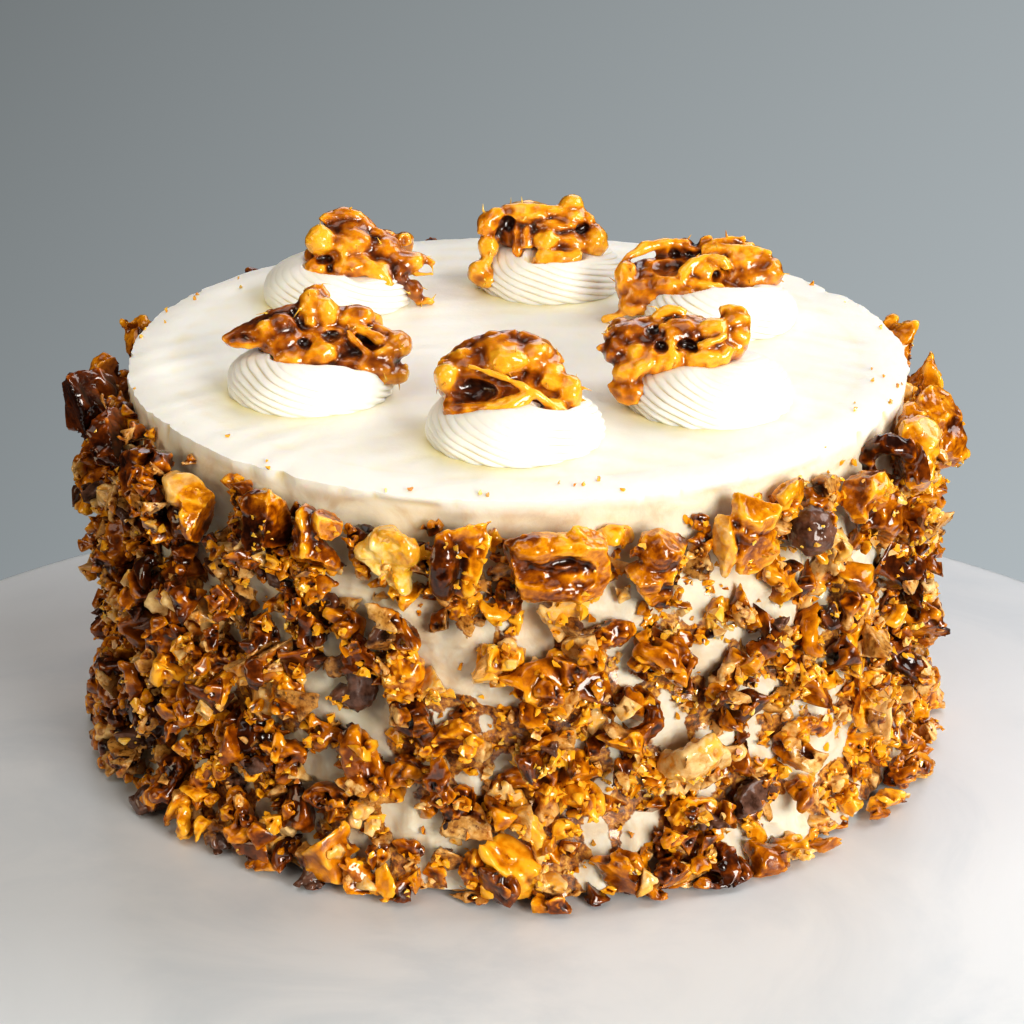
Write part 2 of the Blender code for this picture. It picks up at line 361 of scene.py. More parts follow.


# %% [markdown]
# ## The frosting's look
# Cream cheese frosting is almost white, a little warm, and soft: light goes into it and comes out a few
# millimetres away, which fills its shadows with a pale yellow. Subsurface scattering does that. The
# colour is also painted yellower and darker in the grooves, as painted shade, and yellower round the
# foot of each rosette, as painted light that stands for light come through the cream. Under the lip it
# is painted duller and beige, partly as a stain of syrup and partly as painted shade under the overhang,
# and lower down it is painted greyer among the nuts, as painted shade. On the side, syrup has run into
# the frosting under the nuts and stained it brown.

# %% Mix the frosting
def mix_frosting(name, stained_and_shaded):
    """White frosting with painted shade in its grooves; for the body it also has stains of syrup below the
    lip, painted shade under the lip and among the nuts, and painted light round the rosettes.
    """
    recipe = Recipe(bpy.data.materials.new(name))
    relief = recipe.attribute("relief")
    cloud = recipe.noise(9 * MM, 4)
    # Painted shade: the ramp makes the frosting darker and yellower where its relief is low, in the grooves.
    colour = recipe.ramp(
        relief * 0.8 + cloud * 0.3,
        [(0.12, (0.84, 0.71, 0.40)), (0.38, (0.89, 0.84, 0.68)), (0.56, (0.90, 0.885, 0.82))],
    )
    if stained_and_shaded:
        # Painted light: the frosting turns yellow round the foot of each rosette, most on its side away from
        # the lamp.
        colour = recipe.mix(recipe.attribute("glow") * 0.75, colour, (0.93, 0.80, 0.36))
        height = recipe.add("ShaderNodeSeparateXYZ", {}, [recipe.place()], "Z")
        # Partly a stain of syrup and partly painted shade: the frosting is beige and duller under the
        # overhanging lip.
        below_lip = (TOP - 1.0 * MM - height).between(0.0, 3.0 * MM)
        colour = recipe.mix(below_lip * 0.85, colour, (0.80, 0.72, 0.545))
        # Painted shade: the frosting is greyer and darker low on the side, among the nuts.
        painted_shade_among_nuts = (62 * MM - height).between(0.0, 14 * MM)
        colour = recipe.mix(painted_shade_among_nuts * 0.85, colour, (0.70, 0.665, 0.55))
        smear = recipe.noise(7 * MM, 5, 0.6, 0.8)
        stain = smear.between(0.42, 0.70) * below_lip
        colour = recipe.mix(stain * 0.5, colour, (0.64, 0.43, 0.22))
        edge = recipe.noise(2.4 * MM, 3, 0.55, 0.6)
        soaked = (recipe.attribute("covered") + edge * 1.1).between(1.22, 1.38)
        grit = recipe.noise(1.1 * MM, 4, 0.6)
        syrup = recipe.ramp(
            grit * 1.4 + edge * 0.8 - 0.6,
            [
                (0.30, (0.09, 0.026, 0.003)),
                (0.46, (0.30, 0.09, 0.005)),
                (0.60, (0.55, 0.22, 0.012)),
                (0.78, (0.80, 0.45, 0.08)),
            ],
        )
        colour = recipe.mix(soaked * 0.94, colour, syrup)
        recipe.set(Coat_Weight=soaked * 0.8)
        recipe.bump(recipe.noise(1.3 * MM, 5, 0.6) * 0.25 + grit * soaked, 0.5 * MM, 0.6)
    else:
        recipe.bump(recipe.noise(1.3 * MM, 5, 0.6), 0.10 * MM, 0.5)
    recipe.set(Base_Color=colour, Roughness=0.42, Subsurface_Weight=0.5, Subsurface_Scale=2.2 * MM)
    recipe.set(Subsurface_Radius=(1.0, 0.80, 0.48), Specular_IOR_Level=0.25, Coat_Roughness=0.1)
    return recipe.holder


TOP_FROSTING = mix_frosting("cream_cheese_frosting", True)
PIPED_FROSTING = mix_frosting("piped_cream", False)

# %% [markdown]
# ## The candied nuts' look
# A candied walnut is a brown kernel in a glaze of boiled sugar. The glaze is clear amber: golden where
# it is thin over a ridge, reddish brown on the slopes and almost black in the folds, where the dark is
# partly the thick glaze and partly painted shade. A broken face shows the pale, matt flesh, and some bits
# carry the purple-brown skin. Three values on the vertices steer it: relief, flesh (how far a face is a
# fresh break) and tint (a number of its own for each piece of nut, which also carries painted shade in
# the walnuts' hollows and on the left of the side).

# %% Mix the candied nuts
SYRUP = [
    (0.10, (0.020, 0.004, 0.001)),
    (0.28, (0.075, 0.015, 0.001)),
    (0.46, (0.210, 0.046, 0.001)),
    (0.62, (0.450, 0.132, 0.001)),
    (0.80, (0.740, 0.272, 0.003)),
    (0.98, (0.940, 0.460, 0.025)),
]


def mix_candied(name, fold, middle, relief_share, streak_share, patch_share, tone_share, broken_share):
    """Candied walnut: fold is the size of its patches, middle its mean tone, the rest are shares."""
    recipe = Recipe(bpy.data.materials.new(name))
    relief = recipe.attribute("relief")
    flesh = recipe.attribute("flesh")
    tint = recipe.attribute("tint")
    patches = recipe.noise(fold, 2, 0.5, 0.5)
    streaks = recipe.noise(fold * 0.22, 3, 0.6)
    areas = recipe.noise(24 * MM, 1, 0.5)
    centre = middle - (relief_share + streak_share + patch_share + tone_share + 0.6 * broken_share) / 2
    # Relief darkens the folds: partly the thick glaze's own colour and partly painted shade.
    depth = relief * relief_share + streaks * streak_share + patches * patch_share + tint * tone_share
    depth = depth + areas * (0.6 * broken_share) + centre
    nut = recipe.ramp(depth, SYRUP)
    if broken_share:
        grain = recipe.noise(fold * 0.5, 4, 0.6)
        meat = recipe.ramp(
            grain * 0.8 + relief * 0.3 + tint * 0.3 - 0.25,
            [(0.24, (0.28, 0.09, 0.008)), (0.44, (0.60, 0.30, 0.07)), (0.66, (0.86, 0.60, 0.27))],
        )
        skin = recipe.ramp(grain, [(0.35, (0.050, 0.022, 0.013)), (0.65, (0.20, 0.102, 0.070))])
        broken = flesh * (streaks + 0.25).between(0.50, 0.80) * broken_share
        glazed = (patches * 0.6 + streaks * 0.6).between(0.54, 0.68)
        pale_piece = (tint - 0.90).between(0.0, 0.05) * (1 - glazed * 0.75)
        dark_piece = (0.10 - tint).between(0.0, 0.05)
        nut = recipe.mix(broken, nut, meat)
        nut = recipe.mix(pale_piece * 0.95, nut, meat)
        nut = recipe.mix(dark_piece * (1 - broken * 0.7) * 0.85, nut, skin)
        matt = (broken + pale_piece * 0.6 + dark_piece * 0.7).between(0.0, 1.2)
        recipe.set(Coat_Weight=1 - matt * 0.6, Coat_Roughness=0.06)
        recipe.bump(recipe.noise(1.3 * MM, 3, 0.6), 0.17 * MM, 0.7)
    else:
        recipe.set(Coat_Weight=1.0, Coat_Roughness=0.10)
        recipe.set(Subsurface_Weight=0.22, Subsurface_Scale=1.2 * MM, Subsurface_Radius=(1.0, 0.30, 0.04))
        recipe.bump(recipe.noise(2.4 * MM, 4, 0.55, 0.4), 0.42 * MM, 0.8)
    recipe.set(Base_Color=nut, Roughness=0.30, Coat_IOR=1.52)
    recipe.set(Specular_IOR_Level=0.28 - 0.18 * broken_share)
    return recipe.holder


WALNUT = mix_candied(
    "glazed_walnut", fold=6.0 * MM, middle=0.59,
    relief_share=1.15, streak_share=0.16, patch_share=0.60, tone_share=0.70, broken_share=0,
)
CHOPPED = mix_candied(
    "chopped_walnut", fold=4.5 * MM, middle=0.47,
    relief_share=1.1, streak_share=0.35, patch_share=0.70, tone_share=0.80, broken_share=1.0,
)

# %% [markdown]
# ## Burnt sugar's look
# Where the syrup ran off the nuts it set as thin golden threads, points and crumbs. They are clearer and
# yellower than the glaze on the nuts, so they get a recipe of their own.

# %% Mix the sugar
def mix_sugar():
    """Clear golden sugar."""
    recipe = Recipe(bpy.data.materials.new("golden_sugar"))
    tint = recipe.attribute("tint")
    patches = recipe.noise(1.6 * MM, 4, 0.6)
    colour = recipe.ramp(
        patches * 0.7 + tint * 0.45 - 0.05,
        [
            (0.18, (0.46, 0.15, 0.010)),
            (0.40, (0.72, 0.30, 0.020)),
            (0.62, (0.90, 0.50, 0.045)),
            (0.85, (0.95, 0.74, 0.32)),
        ],
    )
    recipe.set(Base_Color=colour, Roughness=0.2, Coat_Weight=0.8, Coat_Roughness=0.05)
    recipe.set(Subsurface_Weight=0.25, Subsurface_Scale=1.0 * MM, Subsurface_Radius=(1.0, 0.5, 0.1))
    recipe.bump(recipe.noise(0.6 * MM, 4), 0.10 * MM, 0.6)
    return recipe.holder


SUGAR = mix_sugar()
print("materials:", [material.name for material in bpy.data.materials if material.use_nodes])


def dress(piece, material):
    """Gives a piece one material."""
    piece.data.materials.clear()
    piece.data.materials.append(material)


def hand_in(piece, slot, *nodes):
    """Attaches a finished piece to the cake's root, so that it moves with the cake, hides these pieces of the
    frame, which it stands for, and prints its number of triangles.
    """
    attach(piece, "root")
    if nodes:
        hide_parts(*nodes)
    faces = sum(len(face.vertices) - 2 for face in piece.data.polygons)
    print(piece.name, "has", faces, "triangles")


# %% [markdown]
# ## The frosted body
# The body is a cylinder whose frosting was spread with a palette knife. The knife leaves broad arcs on
# the top, pushes the frosting over the edge into a lip, and drags it in streaks round the side. A
# cylinder is added, its top is inset again and again to get rings, and its side is cut into rows.
# Each vertex is then moved by a sum of soft noises, which is what a sculpting brush would do.

# %% Add the cylinder and give it enough vertices
AROUND = 420
SIDE_ROWS = 74
RING_WIDTH = 1.15 * MM
TOP_RINGS = int(SIDE_RADIUS / RING_WIDTH) - 1
BODY_HEIGHT = TOP - 0.6 * MM
bpy.ops.object.select_all(action="DESELECT")
bpy.ops.mesh.primitive_cylinder_add(
    vertices=AROUND, radius=SIDE_RADIUS, depth=BODY_HEIGHT, location=AXIS + Vector((0, 0, BODY_HEIGHT / 2))
)
body = bpy.context.active_object
body.name = "frosting"
apply_place(body)
bpy.ops.object.mode_set(mode="EDIT")
bpy.ops.mesh.select_all(action="DESELECT")
shape = bmesh.from_edit_mesh(body.data)
shape.edges.ensure_lookup_table()
for edge in shape.edges:
    start, end = edge.verts
    edge.select = abs(start.co.z - end.co.z) > BODY_HEIGHT / 2
bmesh.update_edit_mesh(body.data)
bpy.ops.mesh.subdivide(number_cuts=SIDE_ROWS)
bpy.ops.mesh.select_all(action="DESELECT")
shape = bmesh.from_edit_mesh(body.data)
for face in shape.faces:
    face.select = face.normal.z > 0.9
bmesh.update_edit_mesh(body.data)
for _ in range(TOP_RINGS):
    bpy.ops.mesh.inset(thickness=RING_WIDTH, depth=0)
bpy.ops.mesh.poke()
bpy.ops.object.mode_set(mode="OBJECT")
print("the body has", len(body.data.vertices), "vertices")

# %% [markdown]
# ## Bare places in the coat of nuts
# The nuts don't cover all of the frosting. It shows as bare places on the side, each given by its
# azimuth in degrees, its height, and its half width and half height in millimetres. On the shown side
# they are listed one by one, and round the back they are drawn at random in the same sizes. Where the side is
# bare, the frosting stands out between the nuts, because they were pressed into it. Towards the left
# the coat is thicker, so the bare places there count for less.

# %% Choose the bare places
BARE_PLACES = [
    (-122, 43, 4, 6), (-114, 57, 6, 3), (-114, 44, 3, 4), (-117, 34, 4, 5), (-152, 14, 8, 5),
    (-117, 21, 5, 5), (-111, 31, 5, 3), (-98, 46, 8, 7), (-77, 52, 6, 9), (-104, 33, 8, 3),
    (-92, 39, 6, 3), (-102, 12, 6, 6), (-96, 22, 3, 3), (-74, 10, 3, 3), (-80, 4, 4, 2),
    (-90, 57, 6, 3), (-67, 58, 5, 4), (-64, 43, 5, 4), (-57, 31, 6, 5), (-62, 26, 5, 4),
    (-44, 17, 8, 6), (-57, 52, 4, 5), (-50, 56, 4, 3), (-35, 50, 7, 4), (-29, 38, 5, 3),
    (-59, 3, 6, 5), (-134, 54, 4, 5), (-168, 40, 4, 5), (-14, 22, 4, 5),
    (-70, 31, 5, 4), (-50, 6, 7, 5), (-41, 27, 6, 5), (-26, 58, 5, 4), (-53, 47, 4, 4),
]
BARE_SPREAD = 0.93
THICK_COAT = (-175, -118)
THICK_COAT_SHARE = 0.45
rng = random.Random(5)
for _ in range(34):
    place = (rng.uniform(-5, 190), rng.uniform(3, 60), rng.uniform(3, 7), rng.uniform(2, 6))
    BARE_PLACES.append(place)


def bareness(azimuth, z):
    """How bare the side is here, from 0 under the nuts to 1 in the middle of a bare place."""
    most = 0.0
    for middle, height, half_width, half_height in BARE_PLACES:
        across = (azimuth - middle + 180) % 360 - 180
        across = math.radians(across) * SIDE_RADIUS / (half_width * BARE_SPREAD * MM)
        if abs(across) > 1.6:
            continue
        up = (z - height * MM) / (half_height * BARE_SPREAD * MM)
        wobble = 0.35 * noise.noise(Vector((azimuth * 0.35, z / MM * 0.45, 2.0)))
        distance = math.sqrt(across * across + up * up) + wobble
        most = max(most, min(1.0, max(0.0, (1.05 - distance) / 0.4)))
    thick = THICK_COAT[0] < azimuth < THICK_COAT[1]
    return most * (THICK_COAT_SHARE if thick else 1.0)


CRUMB_RADIUS = 80 * MM


def sticking(point):
    """Where small crumbs stick in the frosting: 1 in their clusters, and 0 in the gaps between them."""
    return min(1.0, max(0.0, 0.5 + (noise.noise(point / (6 * MM)) + 0.12) / 0.16))


print("bare places:", len(BARE_PLACES))

# %% [markdown]
# ## Spread the frosting
# The lip wanders in and out by half a millimetre and hangs lower in some places than in others. Under
# it the side is drawn in a little and streaked. The top has broad, very shallow arcs.

# %% Move the body's vertices
LIP_HANG = 3.4 * MM


def soft_step(share):
    """0 under 0, 1 over 1, and a smooth rise between them."""
    share = min(1.0, max(0.0, share))
    return share * share * (3 - 2 * share)


def side_radius(azimuth, z):
    """How far the frosting stands out from the axis at this azimuth and height."""
    angle = math.radians(azimuth)
    ring = Vector((math.cos(angle), math.sin(angle), 0))
    nicks = max(0.0, noise.noise(ring * 17.0 + Vector((3, 8, 1))) - 0.22)
    torn = 0.30 * noise.noise(ring * 30.0) + 0.22 * noise.noise(ring * 70.0)
    lip = min(0.4 + 1.1 * noise.noise(ring * 2.6) + 0.8 * noise.noise(ring * 7.0) + torn, 0.9) - 2.6 * nicks
    wander = 1.3 * noise.noise(ring * 6.0 + Vector((0, 0, 4))) + 0.4 * noise.noise(ring * 22.0)
    hang = LIP_HANG * max(1 + wander, 0.6)
    under = (BODY_HEIGHT - z) / hang
    lip_share = 1 - soft_step((under - 0.10) / 0.90)
    point = Vector((ring.x * SIDE_RADIUS, ring.y * SIDE_RADIUS, z))
    streaks = noise.noise(Vector((ring.x * 5, ring.y * 5, z / (1.6 * MM))))
    rough = noise.noise(point / (6 * MM)) + 0.5 * noise.noise(point / (2.2 * MM))
    ridge = 1 - abs(noise.noise(point / (5 * MM) + Vector((9, 2, 5)))) * 2.2
    low = soft_step((64 * MM - z) / (10 * MM))
    side = 0.3 * streaks + 0.35 * rough + 0.5
    side += low * (1.3 + 1.0 * rough + 0.8 * max(ridge, 0) ** 3 + 1.0 * bareness(azimuth, z))
    side += 2.6 * soft_step(1 - z / (16 * MM))
    foot = max(0.0, 1 - z / (5 * MM))
    side += foot * (2.5 + 3.0 * noise.noise(ring * 3.0 + Vector((7, 0, 0))))
    return SIDE_RADIUS + MM * (lip_share * (0.5 + lip) + (1 - lip_share) * (side - 0.1))


def top_height(x, y):
    """How high the top frosting lies at a place, measured from the body's height."""
    point = Vector((x, y, 0))
    sweep = noise.noise(Vector((x * 18, y * 60, 1.0))) * 0.30
    arcs = noise.noise(Vector((math.hypot(x, y + 0.10) * 260, math.atan2(y + 0.10, x) * 2.2, 3.0))) * 0.16
    return MM * (sweep + arcs + 0.10 * noise.noise(point / (5 * MM)))


def painted_light_round(x, y):
    """How much painted light the frosting beside the rosettes gets, standing for light come through them,
    from 0 to over 1.
    """
    light = 0.0
    for low, high in rosette_boxes:
        beside = Vector((x, y)) + AXIS.xy - (low.xy + high.xy) / 2
        gap = beside.length - (high.x - low.x) / 2
        shaded = 0.5 + 0.5 * beside.normalized().dot(Vector((-0.75, -0.66)))
        light += math.exp(-max(gap, 0) / (0.6 * MM + 2.2 * MM * shaded)) * (0.15 + 0.85 * shaded)
    return light


def spread_side(vertex, x, y, radius, azimuth):
    """Moves a vertex of the side in or out, and gives how far nuts and syrup cover it."""
    z = BODY_HEIGHT * (1 - (1 - vertex.co.z / BODY_HEIGHT) ** 1.4)
    wanted = side_radius(azimuth, z) if z >= 0.5 * MM else SIDE_RADIUS
    vertex.co = (AXIS.x + x * wanted / radius, AXIS.y + y * wanted / radius, z)
    low_share = min(1.0, max(0.0, (57 * MM - z) / (7 * MM)))
    stuck = 0.4 + 0.6 * sticking(on_side(azimuth, CRUMB_RADIUS, z))
    return low_share * (1 - bareness(azimuth, z)) * stuck


def spread_top(vertex, x, y, radius, azimuth):
    """Moves a vertex of the top: out to the lip near the edge, and up to the knife's arcs."""
    edge_share = min(1.0, max(0.0, (radius - SIDE_RADIUS + 8 * MM) / (8 * MM)))
    wanted = side_radius(azimuth, BODY_HEIGHT) - SIDE_RADIUS
    grow = 1 + wanted * edge_share * edge_share / max(radius, MM)
    crown = 0.45 * MM * (1 - edge_share)
    raised = 0.35 * MM * math.sin(edge_share * math.pi)
    z = vertex.co.z + crown + raised + top_height(x, y) * (1 - 0.5 * edge_share)
    vertex.co = (AXIS.x + x * grow, AXIS.y + y * grow, z)


covered = np.zeros(len(body.data.vertices))
glow = np.zeros(len(body.data.vertices))
rosette_boxes = [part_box(f"rosette_{number}") for number in range(1, 7)]
for vertex in body.data.vertices:
    x, y = vertex.co.x - AXIS.x, vertex.co.y - AXIS.y
    radius = math.hypot(x, y)
    azimuth = math.degrees(math.atan2(y, x))
    if radius > SIDE_RADIUS - 0.2 * MM:
        covered[vertex.index] = spread_side(vertex, x, y, radius, azimuth)
    elif vertex.co.z > BODY_HEIGHT / 2:
        spread_top(vertex, x, y, radius, azimuth)
        # Painted light round the rosettes, stored for the material.
        glow[vertex.index] = painted_light_round(x, y)
write_value(body, "covered", covered)
write_value(body, "glow", np.minimum(glow, 1))
smooth_look(body, 55)
mark_relief(body, 14, 0.5 * MM)
dress(body, TOP_FROSTING)
hand_in(body, "cream_frosting", "frosted_cake")

# %% [markdown]
# ## Folds of a walnut
# A walnut kernel is a pair of lobed halves, folded like a brain. By hand one would sculpt it. In code,
# each fold is a thick strand: a path curve of five points with a round bevel. The strands and a core
# are joined and remeshed, which melts them into one skin with grooves where two strands meet. All
# kernels are made at a half length of 1, and are scaled to their place later.

# %% Lay strands and melt them together
KERNEL_WIDTH = 0.80
KERNEL_DOME = 0.52
SKIN_CELL = 0.031


def lay_fold(points, thickness, ends=0.6):
    """One fold: a round strand through five points, thinner towards its ends."""
    bpy.ops.curve.primitive_nurbs_path_add()
    strand = bpy.context.active_object
    controls = strand.data.splines[0].points
    for control, place, share in zip(controls, points, (ends, 1.0, 1.08, 1.0, ends)):
        control.co = (*place, 1)
        control.radius = share
    strand.data.resolution_u = 5
    strand.data.bevel_depth = thickness
    strand.data.bevel_resolution = 3
    strand.data.use_fill_caps = True
    only(strand)
    bpy.ops.object.convert(target="MESH")
    return strand


def lay_lump(place, size):
    """A soft lump: a ball of three half sizes, for a core or a knob."""
    bpy.ops.mesh.primitive_ico_sphere_add(subdivisions=3, radius=1, location=place, scale=size)
    lump = bpy.context.active_object
    apply_place(lump)
    return lump


def melt(pieces, cell, softness=3):
    """Joins pieces and remeshes them into one closed skin."""
    kernel = join(pieces)
    only(kernel)
    remesh = kernel.modifiers.new("one skin", "REMESH")
    remesh.mode = "VOXEL"
    remesh.voxel_size = cell
    soft = kernel.modifiers.new("soft", "SMOOTH")
    soft.factor = 0.5
    soft.iterations = softness
    apply_modifiers(kernel)
    return kernel


def wrinkle(piece, size, depth, basis="ORIGINAL_PERLIN", grooves="SOFT_NOISE"):
    """Moves the skin in and out by a cloudy pattern of this size."""
    pattern = bpy.data.textures.new("wrinkles", "CLOUDS")
    pattern.noise_basis = basis
    pattern.noise_type = grooves
    pattern.noise_scale = size
    pattern.noise_depth = 1
    displace = piece.modifiers.new("wrinkles", "DISPLACE")
    displace.texture = pattern
    displace.strength = depth
    displace.mid_level = 0.5
    apply_modifiers(piece)


def crinkle(piece, fold, fold_depth, crease, crease_depth):
    """Broad soft folds first, and then finer, sharper creases."""
    wrinkle(piece, fold, fold_depth)
    wrinkle(piece, crease, crease_depth, grooves="HARD_NOISE")


def dome(x, y):
    """Height of a half kernel's rounded side over a place in its outline."""
    return KERNEL_DOME * math.sqrt(max(0.0, 1 - x * x - (y / KERNEL_WIDTH) ** 2))


def outer_folds(rng):
    """The rounded side of a kernel: folds that run from a groove in the middle out to the rim."""
    pieces = [lay_lump((0, 0, 0.04), (0.84, 0.62, 0.36))]
    for side in (-1, 1):
        for number in range(5):
            across = -0.70 + 0.35 * number + rng.uniform(-0.07, 0.07)
            reach = 0.76 * math.sqrt(1 - across * across * 0.8)
            points = []
            for step in range(5):
                y = side * (0.07 + (reach - 0.07) * step / 4)
                x = across * (1 - 0.04 * step) + rng.uniform(-0.11, 0.11)
                points.append((x, y, dome(x * 0.9, y * 0.9) - 0.02 + rng.uniform(-0.07, 0.09)))
            pieces.append(lay_fold(points, rng.uniform(0.12, 0.18)))
        rim = []
        for step in range(5):
            x = -0.86 + 0.43 * step
            y = side * 0.72 * math.sqrt(1 - x * x * 0.92)
            rim.append((x, y + rng.uniform(-0.04, 0.04), 0.06 + rng.uniform(-0.08, 0.08)))
        pieces.append(lay_fold(rim, 0.14, 0.9))
    return pieces


def inner_folds(rng):
    """The flat side of a kernel: a thick wavy rim round deep hollows, with a bridge across."""
    pieces = [lay_lump((0, 0, -0.10), (0.80, 0.60, 0.22))]
    for quarter in range(4):
        rim = []
        for step in range(5):
            angle = math.pi / 2 * (quarter + step / 4)
            wave = 1 + 0.10 * math.sin(5 * angle + rng.uniform(-0.6, 0.6))
            x, y = 0.78 * wave * math.cos(angle), 0.60 * wave * math.sin(angle)
            rim.append((x, y, 0.12 + rng.uniform(-0.10, 0.14)))
        pieces.append(lay_fold(rim, rng.uniform(0.15, 0.21), 0.9))
    bridge = [(-0.75, 0.05, 0.10), (-0.4, -0.06, 0.26), (0.0, 0.06, 0.22)]
    bridge += [(0.4, -0.05, 0.30), (0.75, 0.0, 0.1)]
    pieces.append(lay_fold(bridge, 0.12))
    for number in range(6):
        angle = math.pi / 3 * number + rng.uniform(-0.3, 0.3)
        start = Vector((rng.uniform(-0.4, 0.4), rng.uniform(-0.08, 0.08), 0.16))
        end = Vector((0.74 * math.cos(angle), 0.58 * math.sin(angle), 0.20))
        points = []
        for step in range(5):
            sway = Vector((rng.uniform(-0.07, 0.07), rng.uniform(-0.07, 0.07), rng.uniform(-0.12, 0.14)))
            points.append(start.lerp(end, step / 4) + sway)
        pieces.append(lay_fold(points, rng.uniform(0.08, 0.13)))
    for _ in range(4):
        angle = rng.uniform(0, math.tau)
        place = (0.66 * math.cos(angle), 0.52 * math.sin(angle), rng.uniform(0.18, 0.30))
        pieces.append(lay_lump(place, (rng.uniform(0.12, 0.2), rng.uniform(0.12, 0.18), 0.14)))
    return pieces


def make_kernel(name, seed, inner):
    """A whole kernel, seen from its rounded or its flat side."""
    rng = random.Random(seed)
    bpy.ops.object.select_all(action="DESELECT")
    kernel = melt((inner_folds if inner else outer_folds)(rng), SKIN_CELL)
    wrinkle(kernel, 0.28, 0.13)
    wrinkle(kernel, 0.11, 0.06, "VORONOI_F2_F1")
    wrinkle(kernel, 0.05, 0.022)
    kernel.name = name
    return kernel


kernels = [make_kernel(f"kernel_{seed}", seed, seed % 2 == 1) for seed in range(1, 5)]
for kernel in kernels:
    print(kernel.name, len(kernel.data.vertices), "vertices")

# %% [markdown]
# ## Points and threads of sugar
# When the nuts were lifted from the hot syrup it pulled into points and thin edges, which set hard. A
# point is a flattened cone, bent a little. Many are set on the ridges of a nut, leaning outwards.

# %% Set sugar points on a nut
def sugar_point(place, direction, length, width, rng):
    """One thin, flat, slightly bent point of sugar."""
    turn = direction.to_track_quat("Z", "X").to_euler()
    bpy.ops.mesh.primitive_cone_add(
        vertices=6, radius1=width, radius2=width * 0.12, depth=length, location=(0, 0, length * 0.35)
    )
    point = bpy.context.active_object
    bpy.ops.object.mode_set(mode="EDIT")
    bpy.ops.mesh.select_all(action="SELECT")
    bpy.ops.mesh.subdivide(number_cuts=1)
    bpy.ops.transform.resize(value=(1, 0.42, 1), center_override=(0, 0, 0))
    bpy.ops.object.mode_set(mode="OBJECT")
    apply_place(point)
    bend = rng.uniform(-1.5, 1.5) / length
    for vertex in point.data.vertices:
        vertex.co.x += bend * vertex.co.z ** 2
        vertex.co.y += 0.2 * width * math.sin(9 * vertex.co.z / length)
    point.rotation_euler = turn
    point.location = place
    apply_place(point)
    return point


def sugar_points(nut, count, length, width, rng):
    """Sets sugar points on the ridges of a nut and returns them as one piece."""
    relief = nut.data.attributes["relief"].data
    high = [vertex for vertex in nut.data.vertices if relief[vertex.index].value > 0.6]
    points = []
    bpy.ops.object.select_all(action="DESELECT")
    for _ in range(count):
        vertex = rng.choice(high)
        lean = Vector((rng.uniform(-1, 1), rng.uniform(-1, 1), rng.uniform(-0.6, 1)))
        direction = (vertex.normal + 0.8 * lean).normalized()
        long = length * rng.uniform(0.5, 1.2)
        wide = width * rng.uniform(0.5, 1.2)
        points.append(sugar_point(vertex.co - vertex.normal * width * 0.5, direction, long, wide, rng))
    sugar = join(points)
    write_value(sugar, "relief", 0.7)
    write_value(sugar, "flesh", 0.0)
    write_value(sugar, "tint", rng.uniform(0.2, 0.8))
    dress(sugar, SUGAR)
    return sugar


# %% [markdown]
# ## The six candied walnuts
# Each rosette carries one, and no two are alike: some lie with the rounded side up, some with the hollow
# side, and all are craggy and glazed. So each is modelled as it lies, the way one would in clay: lobes
# give the mass, a few hollows are carved out of it, and strands are laid over it as folds and ribs.
# All places are in millimetres from the middle of the frame's walnut and from the top of the cake. A
# lobe has its middle, its three half sizes and its tone, from 0 for nearly black syrup to 1 for bright
# gold. A hollow has its middle and its half sizes.

